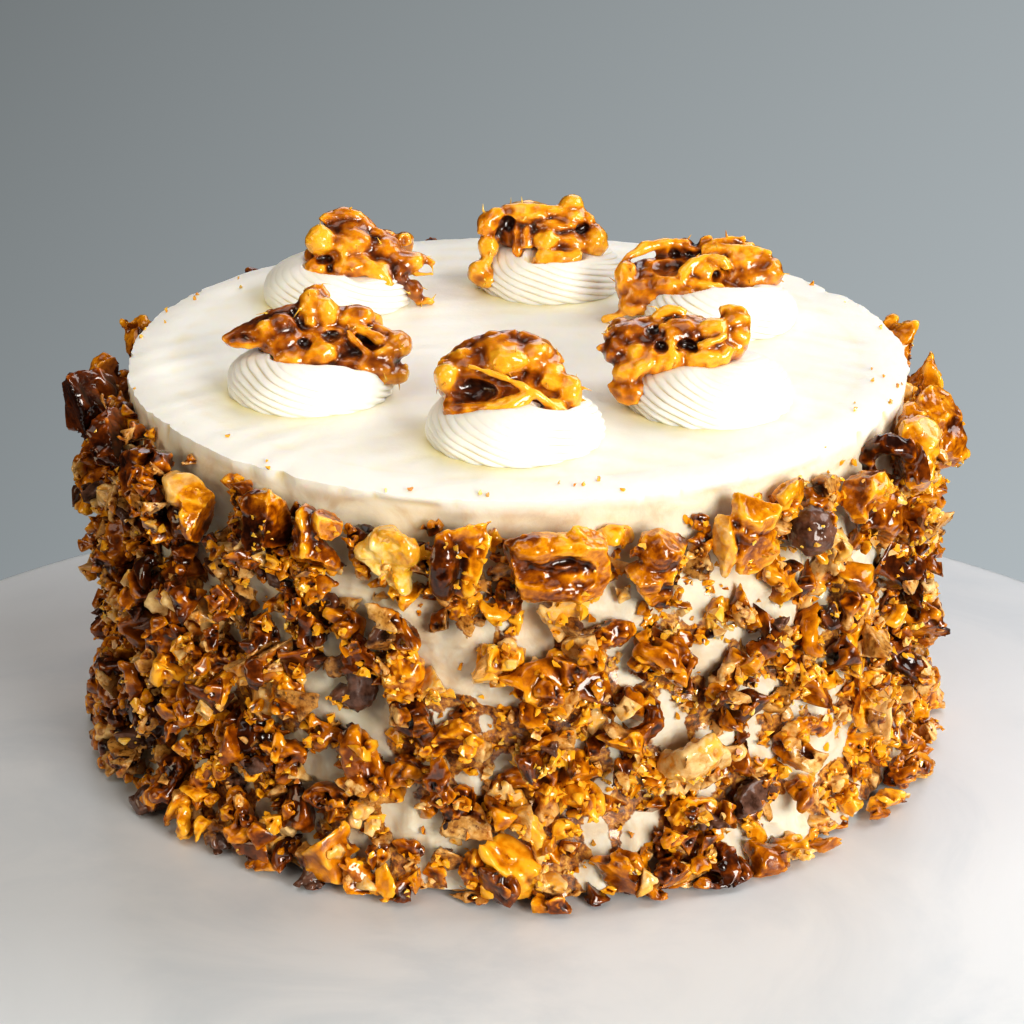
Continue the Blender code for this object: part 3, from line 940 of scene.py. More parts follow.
# %% List the lobes and the hollows
LOBES = {
    1: [
        (-1, 3, 8,  10, 6.5, 4.5,  0.25),
        (-6, 3, 13,  5, 4.5, 3.2,  0.35),
        (-1, 4, 16,  4.5, 4, 2.6,  0.45),
        (0, 0, 15,  3.4, 3, 2.6,  0.95),
        (5, 2, 15,  3.2, 3.2, 3,  0.65),
        (8, 0, 12,  2.4, 2.4, 2.2,  0.85),
        (-11, -1, 12,  2, 2.2, 2.6,  0.95),
        (-9, -1, 7,  2.2, 3.2, 2.6,  0.25),
        (11, -2, 9,  2.3, 2.6, 3.6,  0.75),
        (7, 0, 9,  3, 2.6, 2,  0.7),
        (8, -5, 6,  2.4, 2.2, 1.4,  0.15),
    ],
    2: [
        (0, 3, 10,  11, 6, 4.5,  0.2),
        (-8, 2, 12,  4, 3.5, 2.4,  0.35),
        (-11, -1, 10,  2.2, 3, 2.4,  0.15),
        (-7, -3, 9,  2.6, 2.4, 2.8,  0.85),
        (-1, -4, 10,  1.7, 2, 2.6,  0.95),
        (-9, -5, 7,  2.6, 2.4, 2.2,  0.55),
        (-8, -7, 4,  3, 2, 1.6,  0.3),
        (7, -1, 14,  2.4, 2.4, 2.4,  0.98),
        (6, -4, 10,  3.6, 2.4, 2,  0.9),
        (1, 0, 13,  4.2, 3.2, 2.6,  0.45),
        (11, 1, 15,  2.6, 2.6, 2.4,  0.5),
        (12, -1, 13,  1.8, 2, 1.8,  0.6),
        (-3, -3, 9,  4.5, 3, 2.8,  0.3),
        (9, 0, 11,  4, 3.4, 3.2,  0.45),
        (4, -2, 8,  5, 3, 2.6,  0.35),
    ],
    3: [
        (-5, 3, 6,  11.5, 6, 4.5,  0.25),
        (-12, -2, 5,  4.6, 3, 3,  0.5),
        (-16, 0, 7,  2.2, 3, 4,  0.55),
        (-14, -3, 3,  3.6, 2.4, 2,  0.55),
        (-1, 0, 9,  3.2, 3, 2.8,  0.7),
        (8, 1, 11,  4, 3, 2.4,  0.6),
        (13, 0, 9,  2.2, 2.8, 2.6,  0.5),
        (4, -2, 5,  3.6, 2.6, 2.2,  0.6),
        (-4, -4, 5,  4.4, 2.6, 2,  0.5),
        (9, 1, 8,  5, 4, 3,  0.4),
        (-8, -2, 7,  4, 3, 2.2,  0.5),
    ],
    4: [
        (2, 4, 11,  9.5, 5.5, 4.5,  0.3),
        (-1, 2, 16,  5.5, 3.5, 2.2,  0.8),
        (8, 2, 15,  3.4, 3.4, 2.6,  0.6),
        (8, 2, 18,  2.3, 2.2, 1.8,  0.6),
        (-9, 0, 14,  2.2, 2.6, 2.6,  0.5),
        (-9, -2, 9,  2, 2.2, 2.8,  0.9),
        (-11, -5, 4,  2.2, 2.4, 2.6,  0.75),
        (-9, -6, 3,  2, 2, 1.8,  0.6),
        (3, -3, 11,  2.4, 2.3, 2.4,  0.95),
        (5, -5, 6,  4.6, 2.8, 2.8,  0.8),
        (1, -6, 5,  2, 2, 1.6,  0.3),
        (13, -1, 10,  2.6, 3, 3.4,  0.7),
        (8, -2, 10,  3, 2.6, 2.6,  0.6),
    ],
    5: [
        (-2, 3, 8,  8.5, 6, 5,  0.3),
        (-8, -1, 14,  2.8, 2.6, 3.2,  0.95),
        (-3, 4, 15,  4.2, 3.6, 2.6,  0.4),
        (-2, 0, 13,  4, 3.2, 3,  0.55),
        (5, 1, 11,  3.2, 3, 2.4,  0.5),
        (4, -4, 6,  2.2, 2.2, 3.4,  0.95),
        (8, -3, 6,  1.5, 1.8, 2.6,  0.05),
        (11, -4, 3,  1.7, 1.8, 2,  0),
        (11, -1, 9,  2, 2, 1.8,  0.5),
        (-9, -3, 8,  2.2, 2.2, 1.9,  0.6),
        (-5, -5, 5,  3, 2.2, 2,  0.45),
        (7, 0, 8,  4.5, 3.5, 3.2,  0.3),
        (-1, -3, 8,  4, 2.6, 2.6,  0.35),
        (2, -6, 3,  5, 2, 1.6,  0.4),
    ],
    6: [
        (1, 2, 8,  10.5, 6, 4.5,  0.2),
        (-9, 0, 12,  5, 3, 2,  0.2),
        (-6, -1, 14,  2.3, 2.2, 2,  0.15),
        (-9, -2, 13,  1.6, 1.6, 1.8,  0.7),
        (-1, 3, 15,  2.6, 3, 4,  0.5),
        (2, 2, 15,  1.9, 2.4, 3.2,  0.98),
        (7, 3, 14,  3.4, 3, 2.2,  0.45),
        (1, -4, 9,  3.2, 2.6, 2.2,  0.45),
        (3, -5, 5,  5, 2.5, 1.6,  0.35),
        (7, -4, 7,  3.6, 2.4, 1.5,  0.2),
        (15, 0, 9,  2.4, 3, 2.6,  0.6),
        (15, -3, 4,  2.2, 2.2, 1.8,  0.7),
        (-3, -4, 7,  4, 3, 2.6,  0.5),
        (9, -4, 6,  5, 3, 2.4,  0.3),
        (12, -2, 8,  3, 3, 2.6,  0.5),
        (-6, -1, 10,  4, 3.5, 3,  0.25),
    ],
}
HOLLOWS = {
    1: [(-6, -5, 10,  4.6, 4.2, 2.7), (1, -5, 12,  1.7, 3, 0.7), (6, -7, 8,  2.2, 3, 1)],
    2: [(-4, -2, 14,  2, 3, 1.3), (2, -5, 12,  2.2, 3, 1.3), (-3, -5, 12,  1.4, 2.6, 1)],
    3: [(-8, -1, 11,  4, 3.8, 2.2), (2, -3, 9,  1.2, 3, 1), (-3, -4, 9,  1.5, 2, 0.8)],
    4: [(-5, -2, 14,  1.6, 3.2, 2.2), (-3, -5, 10,  2.2, 3, 2)],
    5: [(-7, -4, 10,  1.9, 2.6, 1), (1, -7, 4,  3.2, 3.2, 1.9)],
    6: [(10, -3, 11,  3.2, 3.5, 1.8), (-2, -5, 11,  1.5, 2.5, 1.2), (3, -3, 12,  2, 2.5, 0.9)],
}

# %% [markdown]
# A strand has the places of its start, its middle and its end, then its half thickness and its tone.

# %% List the strands
STRANDS = {
    1: [
        (-11, 3, 13,  -5, 6, 16,  2, 5, 18,  1.9, 0.3),
        (2, 5, 18,  6, 4, 16,  9, 2, 13,  1.9, 0.5),
        (-4, 5, 18,  -2, 5, 18,  -1, 5, 18,  1.2, 0.45),
        (-11, 2, 14,  -11, 0, 12,  -10, -2, 9,  1.6, 0.8),
        (-5, -6, 7,  0, -7, 8,  4, -6, 10,  1.5, 0.8),
        (-10, -3, 8,  -10, -5, 6,  -5, -6, 7,  1.5, 0.3),
        (-7, -3, 15,  -1, -5, 14,  4, -6, 11,  0.75, 0.85),
        (4, -6, 11,  7, -6, 9,  10, -6, 6,  0.9, 0.95),
        (-8, 2, 16,  -8, 2, 16,  -7, 3, 15,  1.2, 0.95),
        (6, -2, 12,  9, -2, 11,  12, -3, 10,  1.7, 0.75),
        (7, -5, 9,  9, -5, 7,  11, -6, 6,  1.2, 0.95),
    ],
    2: [
        (-13, 0, 12,  -8, 3, 13,  -4, 4, 14,  1.4, 0.5),
        (-4, 3, 15,  -1, 3, 17,  2, 3, 16,  1, 0.95),
        (-5, -1, 12,  0, -2, 13,  3, -2, 13,  1, 0.15),
        (-3, 0, 15,  -2, -1, 14,  0, -2, 13,  0.9, 0.9),
        (4, -4, 12,  6, -5, 13,  9, -4, 14,  0.9, 0.6),
        (4, -5, 10,  7, -5, 9,  10, -4, 12,  1.4, 0.92),
        (-11, -5, 6,  -7, -6, 8,  -4, -5, 10,  1.3, 0.8),
        (-12, -5, 5,  -10, -7, 3,  -7, -8, 3,  1.4, 0.35),
        (-14, -1, 10,  -13, -1, 11,  -11, 0, 11,  0.8, 0.15),
        (8, 2, 17,  11, 2, 17,  13, 1, 17,  1, 0.8),
    ],
    3: [
        (-16, 2, 11,  -10, 5, 14,  -1, 4, 12,  1.1, 0.72),
        (-16, 2, 11,  -17, 0, 9,  -17, -1, 7,  1.2, 0.6),
        (0, 0, 12,  -5, -2, 10,  -4, -3, 8,  1.3, 0.95),
        (0, 0, 12,  3, -1, 12,  4, -2, 10,  1.1, 0.9),
        (-4, -3, 8,  0, -4, 7,  3, -3, 7,  1.2, 0.9),
        (-1, 3, 13,  3, 4, 14,  8, 4, 15,  0.9, 0.85),
        (-1, 3, 12,  5, 2, 13,  13, 1, 12,  1.5, 0.85),
        (-21, -4, 0,  -19, -4, 1,  -16, -4, 2,  0.8, 0.85),
        (-11, -5, 2,  -8, -5, 3,  -4, -5, 2,  1.2, 0.9),
        (1, -4, 5,  4, -5, 4,  8, -5, 3,  1.5, 0.8),
    ],
    4: [
        (-6, 1, 17,  1, 1, 17,  10, 1, 16,  1.6, 0.85),
        (-6, 0, 17,  -9, -1, 15,  -10, -2, 12,  1.6, 0.5),
        (-3, 0, 14,  -3, -2, 10,  -3, -3, 5,  0.9, 0.35),
        (-1, 0, 14,  -1, -2, 11,  -1, -3, 9,  1.2, 0.6),
        (1, -1, 14,  5, -2, 14,  9, -1, 14,  1.3, 0.5),
        (1, -5, 8,  5, -6, 8,  10, -5, 8,  1.5, 0.9),
        (11, 1, 16,  12, 0, 15,  12, 0, 13,  1, 0.4),
        (12, 0, 14,  14, 0, 11,  15, -1, 9,  1.3, 0.6),
        (1, -6, 5,  5, -7, 4,  9, -6, 5,  1.3, 0.75),
        (-10, -5, 6,  -9, -4, 7,  -9, -3, 8,  1, 0.95),
    ],
    5: [
        (-8, 3, 17,  -3, 5, 19,  2, 4, 15,  1.7, 0.5),
        (1, 4, 15,  5, 3, 13,  7, 1, 12,  1.5, 0.35),
        (0, -3, 10,  4, -5, 7,  6, -6, 3,  1.7, 0.9),
        (-3, -2, 13,  -3, -3, 11,  -3, -4, 8,  1, 0.8),
        (-1, -4, 7,  0, -4, 8,  2, -4, 9,  0.8, 0.9),
        (-2, -7, 2,  2, -8, 1,  6, -7, 2,  1.4, 0.5),
        (10, 0, 10,  13, 0, 9,  15, -1, 8,  1, 0.6),
        (11, -2, 6,  13, -2, 6,  15, -2, 6,  0.55, 0.9),
        (11, -4, 0,  13, -4, 1,  15, -4, 0,  0.8, 0.7),
        (-11, -2, 6,  -8, -4, 5,  -6, -5, 4,  1.2, 0.4),
    ],
    6: [
        (-17, -1, 10,  -13, 0, 12,  -7, 1, 14,  1.5, 0.2),
        (-12, 1, 13,  -7, 2, 15,  -3, 3, 16,  1.2, 0.1),
        (-16, -2, 10,  -12, -2, 10,  -6, -3, 11,  1, 0.5),
        (-1, 4, 18,  -1, 2, 16,  -1, 0, 13,  1.6, 0.6),
        (-2, 5, 18,  0, 6, 19,  2, 5, 17,  1.2, 0.5),
        (6, 0, 13,  10, -1, 12,  14, -2, 9,  1.2, 0.75),
        (7, 3, 13,  12, 2, 11,  16, 0, 9,  1.4, 0.5),
        (16, 0, 9,  16, -1, 8,  14, -3, 8,  1.3, 0.5),
        (6, -2, 13,  8, -4, 10,  13, -5, 7,  0.7, 0.3),
        (-7, -4, 7,  -2, -6, 4,  5, -6, 4,  1.7, 0.5),
        (6, -6, 4,  11, -6, 4,  15, -4, 4,  1.4, 0.5),
        (14, -3, 3,  16, -3, 5,  17, -3, 6,  0.8, 0.8),
    ],
}

# %% [markdown]
# ## Build a walnut
# The lobes are melted into one mass. A boolean cuts the hollows out of it. Then the strands are laid
# over it, with a few plain folds behind, where the lists have none, and everything is melted once more
# into one skin. Each vertex takes the tone of the lobes and strands nearest to it, and the walls of the
# hollows are painted darker, as painted shade.

# %% Build the walnuts
def strand_points(row):
    """Five points along the arc through a strand's start, middle and end."""
    start, middle, end = Vector(row[0:3]), Vector(row[3:6]), Vector(row[6:9])
    points = []
    for step in range(5):
        t = step / 4
        points.append(start * (1 - t) * (1 - 2 * t) + middle * 4 * t * (1 - t) + end * t * (2 * t - 1))
    return points


def back_strands(rng):
    """Plain folds for the side of a walnut that faces away from the front."""
    rows = []
    for x in (-9, -4.5, 0, 4.5, 9):
        lean = rng.uniform(-2, 2)
        row = [x, 4, 14 - abs(x) * 0.2, x + lean, 8, 11, x + lean * 1.6, 9, 6, rng.uniform(1.8, 2.4)]
        rows.append((*row, rng.uniform(0.3, 0.8)))
    return rows


def carve(mass, hollow):
    """Cuts a ball-shaped hollow out of a mass."""
    ball = lay_lump(hollow[0:3], hollow[3:6])
    cut = mass.modifiers.new("hollow", "BOOLEAN")
    cut.operation = "DIFFERENCE"
    cut.solver = "MANIFOLD"
    cut.object = ball
    apply_modifiers(mass)
    bpy.data.objects.remove(ball)


def beyond(points, lobe):
    """How far points lie outside a ball of three half sizes, in millimetres."""
    half = np.array(lobe[3:6])
    away = np.linalg.norm((points - np.array(lobe[0:3])) / half, axis=1) - 1
    return away * half.min()


DARKEST_HOLLOW_SHADE = 0.66


def paint_tones(nut, lobes, hollows, rows):
    """Gives each vertex the tone of the lobes and strands near it, and darkens the hollows as painted shade.
    """
    points = read_points(nut)
    total = np.zeros(len(points))
    weights = np.full(len(points), 1e-9)
    for lobe in lobes:
        weight = np.exp(-np.square(np.maximum(beyond(points, lobe), 0) / 0.7)) * 2.5 / max(lobe[3:6])
        total += weight * lobe[6]
        weights += weight
    for row in rows:
        places = np.array(strand_points(row))
        distance = np.min(np.linalg.norm(points[:, None, :] - places[None, :, :], axis=2), axis=1)
        weight = 1.6 * np.exp(-np.square(np.maximum(distance - row[9] * 1.1, 0) / 0.6))
        total += weight * row[10]
        weights += weight
    tone = total / weights
    # Painted shade: the walls of each hollow are darkened.
    for hollow in hollows:
        tone *= np.clip(0.72 + beyond(points, hollow) / 0.8, DARKEST_HOLLOW_SHADE, 1.0)
    write_value(nut, "tint", tone)


FULLNESS = 1.16
NUT_CELL = 0.36


def model_nut(lobes, hollows, rows, cell):
    """Melts lobes into one mass, carves hollows out of it and melts strands onto it."""
    bpy.ops.object.select_all(action="DESELECT")
    mass = melt([lay_lump(lobe[0:3], Vector(lobe[3:6]) * FULLNESS) for lobe in lobes], cell * 1.4, 1)
    for hollow in hollows:
        carve(mass, hollow)
    strands = [lay_fold(strand_points(row), row[9] * FULLNESS, 0.7) for row in rows]
    return melt([mass, *strands], cell, 1)


walnuts = []
for number, rows in STRANDS.items():
    rng = random.Random(100 + number)
    rows = rows + back_strands(rng)
    walnut = model_nut(LOBES[number], HOLLOWS[number], rows, NUT_CELL)
    crinkle(walnut, 3.4, 1.3, 2.2, 0.32)
    walnut.name = f"candied_walnut_{number}"
    paint_tones(walnut, LOBES[number], HOLLOWS[number], rows)
    low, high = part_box(f"walnut_{number}")
    middle = Vector(((low.x + high.x) / 2, (low.y + high.y) / 2, TOP))
    write_points(walnut, read_points(walnut) * MM + np.array(middle))
    squeeze_down(walnut, TOP + 4 * MM, high.z - 0.2 * MM)
    mark_relief(walnut, 34, 0.85 * MM)
    write_value(walnut, "flesh", 0.0)
    dress(walnut, WALNUT)
    sugar = sugar_points(walnut, 16, 2.0 * MM, 0.5 * MM, rng)
    walnut = join([walnut, sugar])
    smooth_look(walnut)
    keep_in(walnut)
    hand_in(walnut, "candied_walnut", f"walnut_{number}")
    walnuts.append(walnut)

# %% [markdown]
# ## One piped rosette
# A rosette is piped with a fine star nozzle that turns as it rises, so its ridges run round it on a
# slant. A circle of vertices is bent into a star, extruded upwards ring by ring, and each ring is
# turned a little further and resized along the outline of a bun. One rosette is made at a half width
# of 1, and each of the six takes a copy.

# %% Pipe a rosette
RIDGES = 18
RIDGE_POINTS = 10
PIPED_RINGS = 46
PIPED_TWIST = math.radians(-190)
RIDGE_DEPTH = 0.055
BUN_HEIGHT = 0.56
FOOT_HEIGHT = 0.12


def bun_outline(share):
    """Radius and height of the bun, from its foot (0) to its tip (1)."""
    angle = math.radians(-14 + 101 * share)
    radius = math.cos(angle) ** 0.72
    if angle < 0:
        height = FOOT_HEIGHT * (1 + angle / math.radians(14))
    else:
        height = FOOT_HEIGHT + (BUN_HEIGHT - FOOT_HEIGHT) * math.sin(angle)
    return radius, max(height, 0.0)


def star_share(position):
    """How far out the star's outline is, from 0 in a groove to 1 on a ridge."""
    return abs(math.sin(math.pi * position)) ** 0.8


bpy.ops.object.select_all(action="DESELECT")
bpy.ops.mesh.primitive_circle_add(vertices=RIDGES * RIDGE_POINTS, radius=1.0)
rosette = bpy.context.active_object
rosette.name = "piped_rosette"
for number, vertex in enumerate(rosette.data.vertices):
    vertex.co *= bun_outline(0)[0] * (1 - RIDGE_DEPTH * (1 - star_share(number / RIDGE_POINTS)))
bpy.ops.object.mode_set(mode="EDIT")
bpy.ops.mesh.select_all(action="SELECT")
bpy.ops.mesh.edge_face_add()
for ring in range(1, PIPED_RINGS + 1):
    before, after = bun_outline((ring - 1) / PIPED_RINGS), bun_outline(ring / PIPED_RINGS)
    grow = after[0] / before[0]
    centre = (0, 0, after[1])
    bpy.ops.mesh.extrude_region_move(TRANSFORM_OT_translate={"value": (0, 0, after[1] - before[1])})
    bpy.ops.transform.resize(value=(grow, grow, 1), center_override=centre)
    bpy.ops.transform.rotate(value=-PIPED_TWIST / PIPED_RINGS, orient_axis="Z", center_override=centre)
bpy.ops.mesh.select_all(action="SELECT")
bpy.ops.mesh.normals_make_consistent(inside=False)
bpy.ops.object.mode_set(mode="OBJECT")
piped = read_points(rosette)
print("a rosette has", len(piped), "vertices")

# %% [markdown]
# ## Six rosettes under their walnuts
# Each walnut was pressed into its rosette, so the cream lies against the nut's underside and wells up
# round it. For each point of the cream, a ray is sent up to the nut: where it meets the nut, the cream
# stops there. The rosettes also sag a little and differ in outline, as piped cream does.

# %% Place the rosettes
def search_tree(piece):
    """The faces of a piece, ordered so that rays find them quickly."""
    places = [vertex.co for vertex in piece.data.vertices]
    return BVHTree.FromPolygons(places, [face.vertices for face in piece.data.polygons])


def press_in(rows, underside):
    """How far each point of the cream is pressed down by the nut, with a soft edge round it."""
    pressed = np.zeros(len(rows))
    for row, (px, py, pz) in enumerate(rows):
        hit = underside.ray_cast(Vector((px, py, TOP - 3 * MM)), Vector((0, 0, 1)))[0]
        if hit is not None:
            pressed[row] = max(0.0, pz - max(hit.z + 1.0 * MM, TOP + 6.2 * MM))
    grid = pressed.reshape(PIPED_RINGS + 1, -1)
    for _ in range(3):
        wide = np.maximum(np.roll(grid, 1, axis=1), np.roll(grid, -1, axis=1))
        grid = np.maximum(grid, 0.8 * wide)
        up, down = np.roll(grid, 1, axis=0), np.roll(grid, -1, axis=0)
        up[0], down[-1] = grid[0], grid[-1]
        grid = np.maximum(grid, 0.25 * (up + down) + 0.5 * grid)
    return grid.ravel()


ROSETTE_TURNS = (0, 40, 75, 120, 200, 260)
for number, walnut in enumerate(walnuts, 1):
    low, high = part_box(f"rosette_{number}")
    middle = (low + high) / 2
    half = (high.x - low.x) / 2
    cream = own_copy(rosette, f"cream_rosette_{number}")
    underside = search_tree(walnut)
    turn = math.radians(ROSETTE_TURNS[number - 1])
    rows = []
    for index, (x, y, z) in enumerate(piped):
        angle = math.atan2(y, x)
        ring = Vector((math.cos(angle), math.sin(angle), number * 3.0))
        groove = 1 - star_share(index / RIDGE_POINTS)
        soften = 0.45 + 1.3 * noise.noise(Vector((x * 1.5, y * 1.5, z + number * 5.0)))
        soften = min(0.95, max(0.1, soften))
        lumps = 0.035 * noise.noise(Vector((x * 2.4, y * 2.4, z * 3 + number * 7.0)))
        wide = half * (1 + 0.035 * noise.noise(ring * 1.4) + lumps + RIDGE_DEPTH * groove * soften)
        tall = half * (1 + 0.10 * noise.noise(ring * 0.9 + Vector((0, 0, 9))))
        spin = turn + 0.25 * noise.noise(ring * 0.8 + Vector((4, 0, 0)))
        px = middle.x + wide * (x * math.cos(spin) - y * math.sin(spin))
        py = middle.y + wide * (x * math.sin(spin) + y * math.cos(spin))
        pz = low.z - 0.6 * MM + z * tall
        rows.append((px, py, pz))
    rows = np.array(rows)
    rows[:, 2] -= press_in(rows, underside)
    write_points(cream, rows)
    mark_relief(cream, 6, 0.22 * MM)
    smooth_look(cream)
    dress(cream, PIPED_FROSTING)
    hand_in(cream, "cream_frosting", f"rosette_{number}")

# %% [markdown]
# ## Broken pieces of nut
# The side is covered in kernels chopped into bits from crumbs to half nuts. A chunk is broken from a
# kernel: planes round a place near its skin cut everything else away. Its outside keeps the kernel's
# folds, and the cut faces are rough, pale flesh. It is then remeshed, so that its edges are soft, and
# thinned to the number of faces that its size deserves. Each kind of chunk has its longest side along X,
# its thinnest along Z, and a length of 1.

# %% Break a chunk from a kernel
GOLDEN_TURN = 2.39996


def spread_directions(count, rng):
    """Directions spread evenly round a ball, a little disturbed."""
    directions = []
    start = rng.uniform(0, math.tau)
    for number in range(count):
        z = 1 - 2 * (number + 0.5) / count
        angle = start + number * GOLDEN_TURN
        flat = math.sqrt(1 - z * z)
        direction = Vector((flat * math.cos(angle), flat * math.sin(angle), z))
        shake = Vector((rng.uniform(-1, 1), rng.uniform(-1, 1), rng.uniform(-1, 1)))
        directions.append((direction + 0.45 * shake).normalized())
    return directions


def lie_flat(piece, thinnest):
    """Turns a piece's longest side along X and its thinnest along Z, and makes it 1 long."""
    points = read_points(piece)
    points -= points.mean(axis=0)
    _, axes = np.linalg.eigh(np.cov(points.T))
    axes = axes[:, ::-1]
    if np.linalg.det(axes) < 0:
        axes[:, 2] *= -1
    points = points @ axes
    low, high = points.min(axis=0), points.max(axis=0)
    points = (points - (low + high) / 2) / (high - low).max()
    thickness = np.ptp(points[:, 2])
    points[:, 2] *= max(1.0, thinnest / thickness)
    write_points(piece, points)


def cut_off(piece, place, direction):
    """Cuts away what lies beyond a plane, and closes the cut with a face."""
    only(piece)
    bpy.ops.object.mode_set(mode="EDIT")
    bpy.ops.mesh.select_all(action="SELECT")
    bpy.ops.mesh.bisect(plane_co=place, plane_no=direction, use_fill=True, clear_outer=True)
    bpy.ops.object.mode_set(mode="OBJECT")


def chop(piece, cuts, deepest, cell, rng):
    """Cuts flat faces on a modelled piece, each at most this share of its width deep."""
    for direction in spread_directions(cuts, rng):
        across = read_points(piece) @ np.array(direction)
        place = across.max() - (across.max() - across.min()) * deepest * rng.random()
        cut_off(piece, direction * place, direction)
    return melt([piece], cell, 0)


def thin_out(piece, faces):
    """Thins a piece to about this many triangles."""
    count = sum(len(face.vertices) - 2 for face in piece.data.polygons)
    if count > faces:
        thin = piece.modifiers.new("thin", "DECIMATE")
        thin.ratio = faces / count
        apply_modifiers(piece)


def largest_part(piece):
    """Keeps the largest of a piece's loose parts, because the cuts can leave slivers beside it."""
    only(piece)
    bpy.ops.object.mode_set(mode="EDIT")
    bpy.ops.mesh.select_all(action="SELECT")
    bpy.ops.mesh.separate(type="LOOSE")
    bpy.ops.object.mode_set(mode="OBJECT")
    parts = sorted(bpy.context.selected_objects, key=lambda part: len(part.data.vertices))
    for part in parts[:-1]:
        bpy.data.objects.remove(part)
    return parts[-1]


FEWEST_VERTICES = 60
FRESH_SHARE = 0.14
THINNEST_CHUNK = 0.3


def break_off(kernel, name, reach, planes, faces, cell, crumple, rng):
    """A chunk of a kernel within about this reach of a place near its skin."""
    chunk = own_copy(kernel, name)
    skin = rng.choice(kernel.data.vertices)
    while skin.normal.z < 0.1:
        skin = rng.choice(kernel.data.vertices)
    place = skin.co - skin.normal * reach * 0.55
    cuts = []
    for direction in spread_directions(planes, rng):
        start = place + direction * reach * rng.uniform(0.6, 1.15)
        cut_off(chunk, start, direction)
        cuts.append((start, direction))
    chunk = largest_part(melt([chunk], cell))
    chunk.name = name
    points = read_points(chunk)
    if len(points) < FEWEST_VERTICES:
        bpy.data.objects.remove(chunk)
        return None
    fresh = np.zeros(len(points))
    for start, direction in cuts:
        distance = np.abs((points - np.array(start)) @ np.array(direction))
        fresh = np.maximum(fresh, np.clip(1.6 - distance / (cell * 1.3), 0, 1))
    write_value(chunk, "flesh", fresh * (1.0 if rng.random() < FRESH_SHARE else 0.0))
    lie_flat(chunk, 0.55)
    crinkle(chunk, 0.34, crumple, 0.20, crumple * 0.35)
    mark_relief(chunk, 18, 0.045)
    thin_out(chunk, faces)
    dress(chunk, CHOPPED)
    return chunk


def break_kinds(label, count, reach, planes, faces, cell, crumple, seed):
    """Several different chunks of one size class."""
    rng = random.Random(seed)
    kinds = []
    while len(kinds) < count:
        kernel = kernels[len(kinds) % len(kernels)]
        chunk = break_off(kernel, f"{label}_{len(kinds):02d}", reach, planes, faces, cell, crumple, rng)
        if chunk is None or min(chunk.dimensions) < THINNEST_CHUNK:
            if chunk:
                bpy.data.objects.remove(chunk)
            continue
        smooth_look(chunk, 180 if faces > 150 else 50)
        kinds.append(chunk)
    print(label, [len(kind.data.polygons) for kind in kinds])
    return kinds


rim_kinds = break_kinds("rim", 8, 0.46, 4, 4000, 0.020, 0.14, 21)
big_kinds = break_kinds("big", 9, 0.44, 4, 900, 0.026, 0.13, 22)
bit_kinds = break_kinds("bit", 9, 0.32, 4, 350, 0.026, 0.09, 23)
small_kinds = break_kinds("small", 9, 0.28, 5, 180, 0.026, 0.08, 26)
crumb_kinds = break_kinds("crumb", 8, 0.24, 5, 84, 0.04, 0.08, 24)
grain_kinds = break_kinds("grain", 5, 0.20, 4, 22, 0.05, 0.08, 25)

# %% [markdown]
# ## Curled and smooth bits
# A chopped walnut also gives hooks, strips and smooth knobs: the rims and bridges of the kernel, broken
# off whole and rounded by the glaze. They are modelled like the walnuts, from lobes and strands, and
# listed in the same way, in millimetres. Where a lobe's last number is over 1, it is bare flesh.

# %% Model the curled bits
CURLS = {
    "hook": (
        [(4.4, -3.4, 0.4,  2.2, 2.4, 1.8,  2.0)],
        [
            (-1.5, -4.2, 0,  -5.4, 0.6, 0,  -1.6, 4.6, 0.3,  2.1, 0.6),
            (-1.6, 4.6, 0.3,  4.4, 4.6, 0.6,  4.4, -1.6, 0.4,  2.1, 0.7),
            (-2.4, -3.2, 0,  -0.6, -4.6, 0.3,  0.8, -3.4, 0,  1.5, 0.5),
        ],
    ),
    "strip": (
        [(0.4, -5.2, 0,  2.3, 2.0, 1.9,  0.6), (-1.4, 4.8, 0,  1.7, 1.5, 1.4,  2.0)],
        [
            (-1.4, 5.6, 0,  1.6, 0.4, 0.8,  0.2, -5.0, 0,  1.4, 0.5),
            (-2.4, 4.4, 0,  0.2, 0, 0,  -1.0, -5.0, 0,  1.1, 0.4),
        ],
    ),
    "knob": (
        [
            (0, 0, 0,  4.6, 3.0, 2.7,  0.6),
            (2.6, 0.6, 0.5,  2.6, 2.6, 2.3,  0.6),
            (-3.4, -0.8, 0,  2.0, 2.0, 1.8,  0.6),
        ],
        [(-4, 1.6, 0.8,  0, 3.0, 1.4,  4.2, 1.4, 0.8,  0.7, 0.5)],
    ),
    "saddle": (
        [
            (-3.2, 1.4, 0,  2.6, 3.2, 2.0,  0.6),
            (3.4, -1.2, 0,  2.8, 2.6, 2.2,  0.6),
            (3.0, 2.8, 0.4,  1.9, 1.6, 1.3,  2.0),
        ],
        [
            (-3.4, 2.4, 0.8,  0, -1.8, 0.6,  3.8, 0.6, 0.9,  1.5, 0.5),
            (-4.2, -1.6, 0,  -1, -3.6, 0,  2.8, -3.2, 0,  1.1, 0.5),
        ],
    ),
    "bow": (
        [(-4.8, -1.4, 0,  2.0, 2.2, 1.8,  0.6), (5.0, -1.8, 0,  1.8, 2.0, 1.7,  2.0)],
        [
            (-5.0, -1.4, 0,  0, 4.2, 0.5,  5.0, -1.6, 0,  1.8, 0.6),
            (-3.0, -2.2, 0,  0.4, 0.6, 0,  3.6, -1.6, 0,  1.3, 0.4),
        ],
    ),
}


def paint_flesh(piece, lobes):
    """Marks the bare flesh: the skin near lobes whose tone is over 1."""
    points = read_points(piece)
    bare = np.zeros(len(points))
    for lobe in lobes:
        if lobe[6] > 1:
            bare = np.maximum(bare, np.clip(1.2 - beyond(points, lobe) / 0.7, 0, 1))
    write_value(piece, "flesh", bare)


